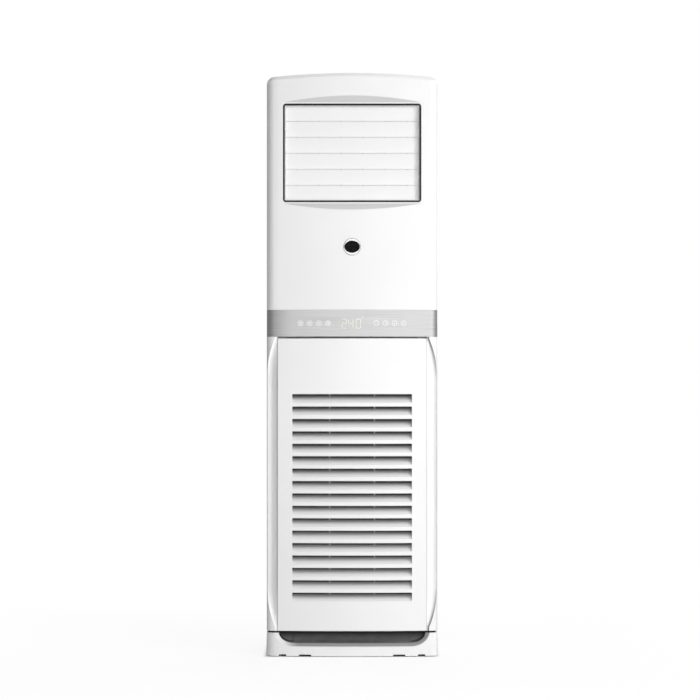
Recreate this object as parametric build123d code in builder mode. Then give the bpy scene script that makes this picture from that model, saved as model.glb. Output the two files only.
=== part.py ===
from build123d import *
import os
from math import asin, atan, cos, degrees, radians, sin, sqrt

os.makedirs("parts", exist_ok=True)

# A floor-standing air conditioner, in millimetres.  The origin is on the floor under the
# middle of the cabinet, +Z is up and the front faces -Y.

# ---- Driving dimensions ------------------------------------------------------------------

# Overall size, measured over the foot skirt and the crown of the top.
overall_width = 540.0
overall_depth = 410.0
overall_height = 1825.0

# Stock thicknesses and the gaps between neighbouring panels.
sheet = 1.2  # folded steel
skin = 3.0  # moulded plastic
panel_seam = 0.4
turning_gap = 0.3  # curved faces of neighbouring pieces
pin_clearance = 0.08  # radial, a pin in its hole
pick_margin = 1.0  # keeps edges on a bounding plane out of a selection or a cut

# Foot: skirt, toe recess, chassis and levelling feet.
floor_gap = 2.0
skirt_top = 74.0
skirt_flare = 2.0
skirt_front_wall = 27.0
skirt_rim = 6.0
shadow_gap = 6.0
chassis_recess = 6.0
chassis_plate = 2.0
chassis_bottom = 12.0
chassis_setback = 91.0  # from the front face to the chassis box
chassis_flange = 46.0
toe_side_margin = 38.5
toe_bottom = 41.0
toe_corner_width = 47.0
toe_corner_height = 33.0
toe_bevel = 11.0
toe_depth = 76.0
toe_back_radius = 34.0
skirt_slot_height = 5.0
skirt_slots = ((50.5, 23.0), (121.0, 38.0))  # distance from the side, length
foot_radius = 18.0
foot_pad_height = 7.0
foot_stud_radius = 5.0

# Cabinet front: the bow seen from above, the corners and the arched top.
front_bow = 15.0
corner_radius = 26.0
front_depth = 45.0
arch_rise = 12.5
top_corner_radius = 25.0
crown_chamfer = 11.0
crown_chamfer_back = 7.5
cap_height = 38.0
side_flange = 12.0

# Control band.
band_drop = 824.5  # from the crown to the band's lower edge
band_height = 83.5
band_wall = 2.0
board_width = 240.0
board_height = 60.0
board_thickness = 1.6
board_screw_inset = 6.0
board_corner = 3.0
display_width = 60.0
display_height = 32.0
display_depth = 6.0

# Outlet window, its gasket and frame.
outlet_drop = 249.5  # from the crown to the outlet's middle
outlet_side_margin = 51.5
outlet_height = 309.0
outlet_corner = 9.5
gasket_width = 5.0
gasket_depth = 3.0
gasket_recess = 1.5
window_land = 3.5
facet_height = 21.0
facet_margin = 1.5  # white edge left between the inlay's arc and the bowed face
trim_thickness = 1.6
frame_side_wall = 3.0
frame_rail = 3.0

# Horizontal louvre slats.
slat_count = 6
slat_pitch = 50.2
slat_thickness = 3.0
slat_crown = 1.2
slat_gap = 0.9
slat_end_gap = 0.8
slat_setback = 12.0
slat_pin_radius = 2.5
crank_arm = 12.0
crank_width = 8.0
crank_thickness = 3.0
crank_pin_radius = 1.6
link_thickness = 3.0
link_width = 8.0
link_gap = 0.8

# Vertical vanes.
vane_count = 6
vane_thickness = 2.5
vane_axis_setback = 44.0
vane_front_chord = 14.0
vane_rear_chord = 40.0
vane_lever = 30.0
vane_pin_radius = 2.0
vane_link_pin_radius = 1.5
vane_link_height = 24.0
vane_link_width = 8.0
vane_link_thickness = 5.0
vane_notch_height = 10.0
vane_notch_front = 20.0
vane_link_pin_bite = 1.0  # into the blade above and below the notch
duct_wall = 6.0
duct_depth = 111.8
duct_flange_height = 170.0

# Small step motors that turn the slats and the vanes.
step_motor_radius = 14.0
step_motor_length = 19.0
step_motor_offset = 8.0
step_motor_socket = 6.0
step_motor_ear = 7.0
step_motor_ear_plate = 1.0

# Round badge.
badge_radius = 27.0
badge_drop = 544.0
badge_thickness = 2.8
badge_sunk = 1.2
badge_round = 0.9
badge_field_width = 45.0
badge_field_height = 38.0
badge_field_depth = 0.7

# Intake door and its louvres.
door_side_margin = 35.0
door_gap = 5.5
door_side_gap = 0.8
door_edge_round = 1.5
slot_count = 17
slot_bar = 12.0
slot_side_margin = 46.0
grille_top_margin = 174.1
grille_bottom_margin = 93.3
blade_thickness = 2.4
blade_throat = 6.5
blade_run = 21.0
rib_width = 3.0
rib_bite = 3.0  # of an inner rib into the blades' rear edges
inner_rib_x = 70.0
outer_rib_offset = 2.5
stud_radius = 4.0
stud_reach = 13.0
catch_radius = 8.0
stud_side_margin = 14.0
stud_bottom_margin = 70.0
stud_top_margin = 65.0

# Grip coves between the door and the cabinet corners: a round groove whose centre runs
# deep along the middle and swings out to the face at both ends.
stile_flange = 28.0
cove_radius = 20.0
cove_deep_inset = 15.0
cove_deep_setback = 12.2
cove_shallow_inset = 30.4
cove_shallow_proud = 8.5
cove_upper_turn_drop = 95.5
cove_upper_end_drop = 16.5
cove_lower_turn = 190.0
cove_lower_end = 104.0
cove_blend = 230.0

# Intake frame and filter.
door_back_gap = 0.5
rail_depth = 18.0
top_rail_drop = 42.5
top_rail_groove = 20.0
bottom_rail_top = 120.0
bottom_rail_groove = 8.0
filter_setback = 3.0
filter_thickness = 8.0
filter_side_margin = 34.5
filter_top_bite = 4.0
filter_border = 10.0
filter_bar = 4.0
filter_columns = 3
filter_rows = 6
filter_mesh = 0.8
filter_play = 0.4

# Fan section.
fan_drop = 5.0  # below the middle of the fan section
wheel_radius = 150.0
wheel_inner_radius = 122.0
wheel_front_gap = 15.0
wheel_back_gap = 20.0
wheel_plate = 2.0
wheel_ring = 3.0
blade_count = 32
blade_skew = 26.0
fan_blade_thickness = 1.6
blade_root_inset = 2.0
blade_tip_inset = 1.5
blade_root_lag = 6.0
blade_tip_lead = 5.0
hub_radius = 20.0
hub_length = 34.0
shaft_radius = 8.0
scroll_depth = 150.0
motor_bay = 83.0  # from the volute's back plate to the cabinet's back
scroll_sheet = 1.5
scroll_square = 30.0
scroll_clearance = 12.0
scroll_throat = 70.0
scroll_throat_radius = 22.0
inlet_radius = 108.0
inlet_lip = 12.0
plate_margin = 15.0  # of the volute's back plate beyond the volute
motor_radius = 60.0
motor_length = 58.0
motor_round = 9.5
motor_bolt_circle = 82.0
bracket_size = 176.0
bracket_corner = 22.0
bracket_thickness = 3.0
bracket_hole = 28.0
divider_drop = 210.5  # from the band's lower edge to the shelf
divider_sheet = 1.5
shelf_setback = 14.0
pipe_notch_width = 108.0
pipe_notch_margin = 25.0

# Evaporator, drain pan and refrigerant pipes.
coil_foot_setback = 56.0
coil_foot_rise = 32.0
coil_rear_gap = 32.6
coil_length = 540.0
coil_side_margin = 63.0
coil_thickness = 44.0
end_plate = 1.5
end_plate_width = 54.0
end_plate_tab = 40.0
bend_count = 4
bend_spacing = 120.0
bend_radius = 12.7
bend_tube_radius = 4.8
pan_lift = 10.0
pan_height = 40.0
pan_depth = 82.0
pan_wall = 2.0
spigot_radius = 9.0
spigot_bore = 7.0
spigot_drop = 30.0
spigot_hole_gap = 5.0  # room for the drain hose round the spigot
spigot_side_margin = 32.0
spigot_setback = 16.0
gas_pipe_radius = 9.525
liquid_pipe_radius = 4.76
pipe_wall = 1.0
pipe_bend_radius = 24.0
pipe_drop_margin = 78.0
gas_riser_margin = 28.0
liquid_riser_margin = 36.0
gas_pipe_offset = 8.0  # from the middle of the pipe hole, back and up
liquid_pipe_setback = 12.0
liquid_pipe_drop = 14.0
pipe_end_margin = 30.0
pipe_shelf_rise = 65.0
pipe_shelf_drop = 20.0
gas_pipe_slope = 90.0
pipe_hole_radius = 35.0
pipe_hole_margin = 48.0
pipe_hole_z = 160.0

# Electric parts.
box_width = 286.8
box_lift = 15.6
box_height = 210.0
box_setback = 8.0
box_depth = 80.0
main_board_width = 190.0
main_board_height = 140.0
standoff = 6.0
standoff_radius = 3.0
standoff_inset = 8.0
component_height = 18.0
chip_width = 63.0
chip_height = 46.0
chip_side = 48.0  # from the board's middle
chip_rise = 28.0
relay_count = 3
relay_width = 19.0
relay_height = 23.0
relay_pitch = 27.0
relay_drop = 35.0
capacitor_radius = 18.0
capacitor_length = 60.0
capacitor_round = 2.0
terminal_width = 70.0
terminal_height = 30.0
terminal_depth = 22.0
terminal_poles = 4
terminal_wall = 3.0
gland_radius = 9.0
gland_nut_radius = 13.0
gland_z = 225.0
gland_bore = 5.0

# Fasteners.
screw_head_radius = 4.0
screw_head_height = 1.6
screw_radius = 1.7
rear_screw_count = 6
wall_fixing_drop = 80.0
wall_fixing_spacing = 120.0
wall_fixing_radius = 2.6

# ---- Derived places ----------------------------------------------------------------------

half_width = overall_width / 2 - skirt_flare
half_depth = overall_depth / 2 - skirt_flare
front_y = -half_depth
seam_y = front_y + front_depth
body_bottom = skirt_top + shadow_gap
inner_half = half_width - sheet
cap_bottom = overall_height - cap_height
band_bottom = overall_height - band_drop
panel_bottom = band_bottom + band_height + panel_seam
bow_radius = (half_width**2 + front_bow**2) / (2 * front_bow)
bow_centre = front_y + bow_radius
frame_back = seam_y + sheet
rear_panel_y = half_depth - 2 * sheet
toe_half_width = half_width - toe_side_margin
chassis_front = half_depth - chassis_setback
outlet_centre = overall_height - outlet_drop
outlet_width = 2 * (half_width - outlet_side_margin)
badge_height = overall_height - badge_drop
wall_fixing_height = overall_height - wall_fixing_drop
pipe_hole_y = half_depth - pipe_hole_margin


def face_y(x, inset=0.0):
    """Depth of the bowed front at distance x from the middle, set in by a wall."""
    return bow_centre - sqrt((bow_radius - inset) ** 2 - x**2)


def plan(inset, back, corner=corner_radius):
    """Outline from above: bowed front, rounded front corners, square back."""
    half = half_width - inset
    side_y = face_y(half, inset)
    with BuildSketch() as outline:
        with BuildLine():
            bow = ThreePointArc((-half, side_y), (0, front_y + inset), (half, side_y))
            Polyline(bow @ 1, (half, back), (-half, back), bow @ 0)
        make_face()
        fillet(outline.vertices().group_by(Axis.Y)[0], corner - inset)
    return outline.sketch


def arch(inset, bottom, corner=top_corner_radius):
    """Outline from the front: arched top between two round corners."""
    half = half_width - inset
    shoulder = overall_height - arch_rise - inset
    with BuildSketch() as outline:
        with BuildLine():
            crown = ThreePointArc(
                (-half, shoulder), (0, overall_height - inset), (half, shoulder)
            )
            Polyline(crown @ 1, (half, bottom), (-half, bottom), crown @ 0)
        make_face()
        if corner > inset:
            fillet(outline.vertices().group_by(Axis.Y)[-1], corner - inset)
    return outline.sketch


def front_block(bottom, inset):
    """The front moulding's form from its bottom edge to the crown, set in by its wall."""
    with BuildPart() as block:
        with BuildSketch(Plane.XY.offset(bottom)):
            add(plan(inset, seam_y))
        extrude(amount=overall_height - bottom)
        with BuildSketch(Plane.XZ.offset(-seam_y)):
            add(arch(inset, bottom, corner=0))
        extrude(amount=front_depth, mode=Mode.INTERSECT)
        crown_face = block.faces().sort_by(Axis.Z)[-1]
        crown_edges = crown_face.edges().filter_by(lambda edge: edge.center().Y < seam_y - pick_margin)
        chamfer(crown_edges, crown_chamfer - inset, (crown_chamfer_back - inset))
        with BuildSketch(Plane.XZ.offset(-seam_y)):
            add(arch(inset, bottom))
        extrude(amount=front_depth, mode=Mode.INTERSECT)
    return block.part


def finish(piece, name):
    """Name a finished piece and write it."""
    piece.label = name
    export_step(piece, f"parts/{name}.step")


# ---- Foot --------------------------------------------------------------------------------


def toe_outline(grow=0.0):
    """Front view of the toe recess: straight bottom, elliptic corners, open at the top."""
    half = toe_half_width + grow
    centre = half - toe_corner_width - grow
    spring = toe_bottom + toe_corner_height
    wide = toe_corner_width + grow
    tall = toe_corner_height + grow
    with BuildSketch() as outline:
        with BuildLine():
            right = EllipticalCenterArc((centre, spring), wide, tall, start_angle=270, arc_size=90)
            left = EllipticalCenterArc((-centre, spring), wide, tall, start_angle=180, arc_size=90)
            Line(left @ 1, right @ 0)
            Polyline(right @ 1, (half, body_bottom), (-half, body_bottom), left @ 0)
        make_face()
    return outline.sketch


# Moulded skirt round the foot.  It flares towards the floor, its front is thick round the
# toe recess, and its top and bottom rims turn in to the chassis.
skirt_height = skirt_top - floor_gap
with BuildPart() as base_skirt:
    with BuildSketch(Plane.XY.offset(floor_gap)):
        add(plan(-skirt_flare, half_depth + skirt_flare))
    extrude(amount=skirt_height, taper=degrees(atan(skirt_flare / skirt_height)))
    with BuildSketch(Plane.XY.offset(floor_gap)):
        with Locations((0, (half_depth - skirt_rim + front_y + skirt_front_wall) / 2)):
            Rectangle(2 * (half_width - skirt_rim), 2 * half_depth - skirt_rim - skirt_front_wall)
    extrude(amount=skirt_height, mode=Mode.SUBTRACT)
    with BuildSketch(Plane.XY.offset(floor_gap + skirt_rim)):
        with Locations((0, (half_depth - skin + front_y + skirt_front_wall) / 2)):
            Rectangle(2 * (half_width - skin), 2 * half_depth - skin - skirt_front_wall)
    extrude(amount=skirt_height - 2 * skirt_rim, mode=Mode.SUBTRACT)
    with BuildSketch(Plane.XZ.offset(-(front_y + skirt_front_wall + skirt_rim))):
        add(toe_outline())
    extrude(amount=skirt_front_wall + 3 * skirt_rim, mode=Mode.SUBTRACT)
    mouth_edges = base_skirt.edges().filter_by(
        lambda edge: edge.center().Y < face_y(edge.center().X) + skirt_flare
        and toe_bottom - pick_margin < edge.center().Z < skirt_top - pick_margin
        and abs(edge.center().X) < toe_half_width
    )
    chamfer(mouth_edges, toe_bevel)
    with BuildSketch(Plane.XZ.offset(-(front_y + skirt_front_wall + skirt_rim))):
        for margin, length in skirt_slots:
            slot_x = half_width - margin
            with Locations((slot_x, floor_gap), (-slot_x, floor_gap)):
                Rectangle(length, 2 * skirt_slot_height)
    extrude(amount=skirt_front_wall + 3 * skirt_rim, mode=Mode.SUBTRACT)
finish(base_skirt.part, "base_skirt")

# Dark liner of the toe recess, curving up behind to the chassis deck.
liner_front = front_y + skirt_front_wall + panel_seam
liner_back = front_y + toe_depth
deck_underside = body_bottom - chassis_plate
with BuildPart() as toe_recess_liner:
    with BuildSketch(Plane.XZ.offset(-liner_front)):
        add(toe_outline(skin))
    extrude(amount=-(liner_back + skin - liner_front))
    with BuildSketch(Plane.XY.offset(deck_underside)):
        Rectangle(2 * overall_width, 2 * overall_depth)
    extrude(amount=body_bottom, mode=Mode.SUBTRACT)
    with BuildSketch(Plane.XZ.offset(-liner_front)):
        add(toe_outline())
    extrude(amount=-(liner_back - liner_front), mode=Mode.SUBTRACT)
    # The quarter-round back is what stays of a block in the lower rear corner.
    with BuildSketch(Plane.YZ):
        with BuildLine():
            start = (liner_back + skin / 2, toe_bottom - skin / 2)
            low = (liner_back - toe_back_radius, toe_bottom - skin / 2)
            Line(start, low)
            Line(low, (liner_back - toe_back_radius, toe_bottom))
            curve = RadiusArc(
                (liner_back - toe_back_radius, toe_bottom),
                (liner_back, toe_bottom + toe_back_radius),
                -toe_back_radius,
            )
            Polyline(curve @ 1, (liner_back + skin / 2, toe_bottom + toe_back_radius), start)
        make_face()
    extrude(amount=toe_half_width - toe_corner_width + skin, both=True)
finish(toe_recess_liner.part, "toe_recess_liner")

# Welded chassis: a deck whose front follows the bow, four walls and a foot flange.
chassis_half = half_width - chassis_recess
chassis_rear = half_depth - chassis_recess
chassis_length = chassis_rear + chassis_front
chassis_mid = (chassis_rear - chassis_front) / 2
with BuildPart() as base_chassis:
    with BuildSketch(Plane.XY.offset(deck_underside)):
        add(plan(chassis_recess, chassis_rear))
    extrude(amount=chassis_plate)
    with BuildSketch(Plane.XY.offset(chassis_bottom)):
        with Locations((0, chassis_mid)):
            Rectangle(2 * chassis_half, chassis_length)
            Rectangle(
                2 * (chassis_half - chassis_plate),
                chassis_length - 2 * chassis_plate,
                mode=Mode.SUBTRACT,
            )
    extrude(amount=deck_underside - chassis_bottom)
    with BuildSketch(Plane.XY.offset(chassis_bottom)):
        with Locations((0, chassis_mid)):
            Rectangle(2 * chassis_half, chassis_length)
            Rectangle(
                2 * (chassis_half - chassis_flange),
                chassis_length - 2 * chassis_flange,
                mode=Mode.SUBTRACT,
            )
    extrude(amount=chassis_plate)
finish(base_chassis.part, "base_chassis")

# Four rubber-padded levelling feet under the corners of the chassis flange.
foot_x = chassis_half - chassis_flange / 2
foot_y_spacing = chassis_length - chassis_flange
with BuildPart() as levelling_feet:
    with BuildSketch():
        with Locations((0, chassis_mid)):
            with GridLocations(2 * foot_x, foot_y_spacing, 2, 2):
                Circle(foot_radius)
    extrude(amount=foot_pad_height)
    with BuildSketch(Plane.XY.offset(foot_pad_height)):
        with Locations((0, chassis_mid)):
            with GridLocations(2 * foot_x, foot_y_spacing, 2, 2):
                Circle(foot_stud_radius)
    extrude(amount=chassis_bottom - foot_pad_height)
finish(levelling_feet.part, "levelling_feet")

# ---- Sheet-metal cabinet -----------------------------------------------------------------

rear_screw_heights = [
    body_bottom + (cap_bottom - body_bottom) * (i + 0.5) / rear_screw_count
    for i in range(rear_screw_count)
]
rear_screw_x = half_width - side_flange / 2
side_height = cap_bottom - body_bottom


def side_sheet():
    """Right-hand side: a folded sheet with flanges at the front, the back and the bottom."""
    with BuildPart() as folded:
        with BuildSketch(Plane.XY.offset(body_bottom)):
            with BuildLine():
                Polyline(
                    (half_width - side_flange, seam_y),
                    (half_width, seam_y),
                    (half_width, half_depth),
                    (half_width - side_flange, half_depth),
                    (half_width - side_flange, half_depth - sheet),
                    (inner_half, half_depth - sheet),
                    (inner_half, seam_y + sheet),
                    (half_width - side_flange, seam_y + sheet),
                    close=True,
                )
            make_face()
        extrude(amount=side_height)
        with BuildSketch(Plane.XY.offset(body_bottom)):
            with Locations((half_width, (seam_y + half_depth) / 2)):
                Rectangle(side_flange, half_depth - seam_y, align=(Align.MAX, Align.CENTER))
        extrude(amount=sheet)
        with BuildSketch(Plane.XZ.offset(-half_depth)):
            with Locations(*[(rear_screw_x, height) for height in rear_screw_heights]):
                Circle(screw_radius + pin_clearance)
        extrude(amount=sheet, mode=Mode.SUBTRACT)
    return folded.part


# The pipe hole and the cable hole are low down at the back of the right side only.
with BuildPart() as right_side_panel:
    add(side_sheet())
    with BuildSketch(Plane.YZ.offset(inner_half)):
        with Locations((pipe_hole_y, pipe_hole_z)):
            Circle(pipe_hole_radius)
        with Locations((pipe_hole_y, gland_z)):
            Circle(gland_radius + pin_clearance)
    extrude(amount=sheet, mode=Mode.SUBTRACT)
finish(right_side_panel.part, "right_side_panel")

with BuildPart() as left_side_panel:
    mirror(side_sheet(), about=Plane.YZ)
finish(left_side_panel.part, "left_side_panel")

# Flat back sheet inside the rear flanges, with two holes for a wall bracket near the top.
with BuildPart() as rear_panel:
    with BuildSketch(Plane.XZ.offset(-(rear_panel_y + sheet))):
        with Locations((0, body_bottom + sheet)):
            Rectangle(2 * inner_half, side_height - sheet, align=(Align.CENTER, Align.MIN))
        with Locations(
            *[(side * rear_screw_x, height) for side in (-1, 1) for height in rear_screw_heights]
        ):
            Circle(screw_radius + pin_clearance, mode=Mode.SUBTRACT)
        with Locations((0, wall_fixing_height)):
            with GridLocations(wall_fixing_spacing, 1, 2, 1):
                Circle(wall_fixing_radius, mode=Mode.SUBTRACT)
    extrude(amount=sheet)
finish(rear_panel.part, "rear_panel")

# Moulded top cover with the same arched outline as the front, closed at the back.
with BuildPart() as top_cover:
    with BuildSketch(Plane.XZ.offset(-seam_y)):
        add(arch(0, cap_bottom))
    extrude(amount=-(half_depth - seam_y))
    with BuildSketch(Plane.XZ.offset(-seam_y)):
        add(arch(skin, cap_bottom - skin))
    extrude(amount=-(half_depth - skin - seam_y), mode=Mode.SUBTRACT)
finish(top_cover.part, "top_cover")

# Pan-head screws that hold the back sheet to the flanges of the sides.
with BuildPart() as casing_screws:
    with BuildSketch(Plane.XZ.offset(-half_depth)):
        with Locations(
            *[(side * rear_screw_x, height) for side in (-1, 1) for height in rear_screw_heights]
        ):
            Circle(screw_head_radius)
    extrude(amount=-screw_head_height)
    with BuildSketch(Plane.XZ.offset(-half_depth)):
        with Locations(
            *[(side * rear_screw_x, height) for side in (-1, 1) for height in rear_screw_heights]
        ):
            Circle(screw_radius)
    extrude(amount=2 * sheet)
finish(casing_screws.part, "casing_screws")

# ---- Upper front: panel, accent trims, badge ---------------------------------------------

window_y = face_y(outlet_width / 2 + window_land)
window_half_height = outlet_height / 2


def rounded_window(grow):
    """Outlet outline in the front view, grown by a margin on every side."""
    with BuildSketch() as outline:
        with Locations((0, outlet_centre)):
            RectangleRounded(
                outlet_width + 2 * grow, outlet_height + 2 * grow, outlet_corner + grow
            )
    return outline.sketch


facet_start = window_half_height + window_land


def facet_trim(side, clearance):
    """Light inlay on the sloping facet above or below the window, cut to an arc."""
    inner_z = outlet_centre + side * facet_start
    outer_z = outlet_centre + side * (facet_start + facet_height)
    half = outlet_width / 2 - clearance
    with BuildPart() as trim:
        with BuildSketch(Plane.YZ):
            Polygon(
                (window_y, inner_z),
                (front_y, outer_z),
                (front_y + trim_thickness, outer_z),
                (window_y + trim_thickness, inner_z),
                align=None,
            )
        extrude(amount=half, both=True)
        with BuildSketch(Plane.XZ.offset(-(window_y + trim_thickness))):
            with BuildLine():
                peak = outer_z - side * (facet_margin + clearance)
                edge = ThreePointArc((-half, inner_z), (0, peak), (half, inner_z))
                Line(edge @ 1, edge @ 0)
            make_face()
        extrude(amount=2 * front_bow, mode=Mode.INTERSECT)
    return trim.part


facet_outer = facet_start + facet_height


def panel_hollow():
    """Inside of the panel, less the backing that stays behind the window flat."""
    with BuildPart() as hollow:
        add(front_block(panel_bottom, skin))
        with BuildSketch(Plane.XZ.offset(-(window_y + skin + trim_thickness))):
            with Locations((0, outlet_centre)):
                Rectangle(outlet_width + 4 * window_land, 2 * (facet_outer + skin))
        extrude(amount=front_depth, mode=Mode.SUBTRACT)
    return hollow.part


# White front moulding.  The window lies in a flat set into the bowed face, and the
# facets above and below it slope from the face to that flat.
with BuildPart() as upper_front_panel:
    add(front_block(panel_bottom, 0))
    add(panel_hollow(), mode=Mode.SUBTRACT)
    with BuildSketch(Plane.YZ):
        Polygon(
            (front_y - pick_margin, outlet_centre + facet_outer),
            (front_y, outlet_centre + facet_outer),
            (window_y, outlet_centre + facet_start),
            (window_y, outlet_centre - facet_start),
            (front_y, outlet_centre - facet_outer),
            (front_y - pick_margin, outlet_centre - facet_outer),
            align=None,
        )
    extrude(amount=outlet_width / 2 + 2 * window_land, both=True, mode=Mode.SUBTRACT)
    for side in (1, -1):
        add(facet_trim(side, 0), mode=Mode.SUBTRACT)
    with BuildSketch(Plane.XZ.offset(-seam_y)):
        add(rounded_window(0))
    extrude(amount=front_depth, mode=Mode.SUBTRACT)
    with BuildSketch(Plane.XZ.offset(-(front_y + badge_sunk))):
        with Locations((0, badge_height)):
            Circle(badge_radius + turning_gap)
    extrude(amount=badge_thickness, mode=Mode.SUBTRACT)
finish(upper_front_panel.part, "upper_front_panel")

with BuildPart() as outlet_accent_trims:
    for side in (1, -1):
        add(facet_trim(side, turning_gap))
finish(outlet_accent_trims.part, "outlet_accent_trims")

# Plain round badge with a sunk oval field, let into the panel.
with BuildPart() as blank_badge:
    with BuildSketch(Plane.XZ.offset(-(front_y + badge_sunk))):
        with Locations((0, badge_height)):
            Circle(badge_radius)
    extrude(amount=badge_thickness)
    badge_face = blank_badge.faces().sort_by(Axis.Y)[0]
    fillet(badge_face.edges(), badge_round)
    with BuildSketch(Plane.XZ.offset(-(front_y + badge_sunk - badge_thickness))):
        with Locations((0, badge_height)):
            Ellipse(badge_field_width / 2, badge_field_height / 2)
    extrude(amount=-badge_field_depth, mode=Mode.SUBTRACT)
finish(blank_badge.part, "blank_badge")

# Black rubber gasket in the joint between the panel and the outlet frame.
with BuildPart() as outlet_gasket:
    with BuildSketch(Plane.XZ.offset(-(window_y + gasket_recess))):
        add(rounded_window(0))
        add(rounded_window(-gasket_width), mode=Mode.SUBTRACT)
    extrude(amount=-gasket_depth)
finish(outlet_gasket.part, "outlet_gasket")

# ---- Outlet: frame, slats, vanes, duct ---------------------------------------------------

opening_half_width = outlet_width / 2 - gasket_width - frame_side_wall
opening_half_height = outlet_height / 2 - gasket_width - frame_rail
slat_axis_y = window_y + slat_setback
slat_axis_z = [
    outlet_centre + slat_pitch * ((slat_count - 1) / 2 - i) for i in range(slat_count)
]
slat_half_length = opening_half_width - slat_end_gap
frame_outer = outlet_width / 2 - gasket_width
crank_x = frame_outer + link_gap

# White collar that carries the slats, with a bearing hole at both ends of each slat.
with BuildPart() as outlet_frame:
    with BuildSketch(Plane.XZ.offset(-window_y)):
        add(rounded_window(-gasket_width))
        with Locations((0, outlet_centre)):
            Rectangle(2 * opening_half_width, 2 * opening_half_height, mode=Mode.SUBTRACT)
    extrude(amount=-(frame_back - window_y))
    with BuildSketch(Plane.YZ):
        with Locations(*[(slat_axis_y, height) for height in slat_axis_z]):
            Circle(slat_pin_radius + pin_clearance)
    extrude(amount=outlet_width, both=True, mode=Mode.SUBTRACT)
finish(outlet_frame.part, "outlet_frame")


def louvre_slat(index):
    """One slat: crowned blade, bearing pins, and a crank outside the left bearing."""
    axis_z = slat_axis_z[index]
    reach = slat_pitch / 2 - slat_gap / 2
    limit = opening_half_height - slat_gap / 2
    top = min(axis_z + reach, outlet_centre + limit)
    bottom = max(axis_z - reach, outlet_centre - limit)
    front = slat_axis_y - slat_thickness / 2
    back = slat_axis_y + slat_thickness / 2
    with BuildPart() as slat:
        with BuildSketch(Plane.YZ):
            with BuildLine():
                nose = ThreePointArc(
                    (front + slat_crown, bottom), (front, (top + bottom) / 2), (front + slat_crown, top)
                )
                Polyline(nose @ 1, (back, top), (back, bottom), nose @ 0)
            make_face()
        extrude(amount=slat_half_length, both=True)
        # Bearing pins: short on the right, through to the crank on the left.
        with BuildSketch(Plane.YZ.offset(slat_half_length - 2 * slat_thickness)):
            with Locations((slat_axis_y, axis_z)):
                Circle(slat_pin_radius)
        right_end = frame_outer - slat_end_gap
        if index == 0:
            right_end = frame_outer + step_motor_socket - slat_end_gap
        extrude(amount=right_end - slat_half_length + 2 * slat_thickness)
        with BuildSketch(Plane.YZ.offset(2 * slat_thickness - slat_half_length)):
            with Locations((slat_axis_y, axis_z)):
                Circle(slat_pin_radius)
        extrude(amount=-(crank_x + crank_thickness - slat_half_length + 2 * slat_thickness))
        with BuildSketch(Plane.YZ.offset(-crank_x)):
            with Locations((slat_axis_y + crank_arm / 2, axis_z)):
                SlotCenterToCenter(crank_arm, crank_width)
        extrude(amount=-crank_thickness)
        with BuildSketch(Plane.YZ.offset(-crank_x)):
            with Locations((slat_axis_y + crank_arm, axis_z)):
                Circle(crank_pin_radius)
        extrude(amount=-(crank_thickness + 2 * link_gap + link_thickness))
    return slat.part


for i in range(slat_count):
    finish(louvre_slat(i), f"slat_{i + 1}")

# Upright link outside the frame that ties the slat cranks together.
link_x = crank_x + crank_thickness + link_gap
link_y = slat_axis_y + crank_arm
with BuildPart() as slat_link_rod:
    with BuildSketch(Plane.YZ.offset(-link_x)):
        with Locations((link_y, outlet_centre)):
            SlotCenterToCenter((slat_count - 1) * slat_pitch, link_width, rotation=90)
        with Locations(*[(link_y, height) for height in slat_axis_z]):
            Circle(crank_pin_radius + pin_clearance, mode=Mode.SUBTRACT)
    extrude(amount=-link_thickness)
finish(slat_link_rod.part, "slat_link_rod")


def step_motor(plane):
    """Can motor whose output socket lies off its centre; the plane's origin is the output."""
    ear_spacing = 2 * step_motor_radius + step_motor_ear
    with BuildPart() as motor:
        with BuildSketch(plane):
            with Locations((0, step_motor_offset)):
                Circle(step_motor_radius)
                SlotOverall(2 * (step_motor_radius + step_motor_ear), step_motor_ear)
                with GridLocations(ear_spacing, 1, 2, 1):
                    Circle(screw_radius, mode=Mode.SUBTRACT)
        extrude(amount=step_motor_ear_plate)
        with BuildSketch(plane.offset(step_motor_ear_plate)):
            with Locations((0, step_motor_offset)):
                Circle(step_motor_radius)
        extrude(amount=step_motor_length - step_motor_ear_plate)
        with BuildSketch(plane):
            Circle(slat_pin_radius + pin_clearance)
        extrude(amount=step_motor_socket, mode=Mode.SUBTRACT)
    return motor.part


# The top slat is driven from the right, outside the frame wall.
slat_motor_plane = Plane(
    origin=(frame_outer, slat_axis_y, slat_axis_z[0]), x_dir=(0, 0, -1), z_dir=(1, 0, 0)
)
with BuildPart() as slat_motor:
    add(step_motor(slat_motor_plane))
finish(slat_motor.part, "slat_motor")

vane_axis_y = slat_axis_y + vane_axis_setback
vane_pitch = 2 * opening_half_width / vane_count
vane_x = [vane_pitch * (i - (vane_count - 1) / 2) for i in range(vane_count)]
vane_half_height = opening_half_height - slat_end_gap
vane_link_z = outlet_centre - opening_half_height + vane_link_height
driven_vane = vane_count // 2


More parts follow.
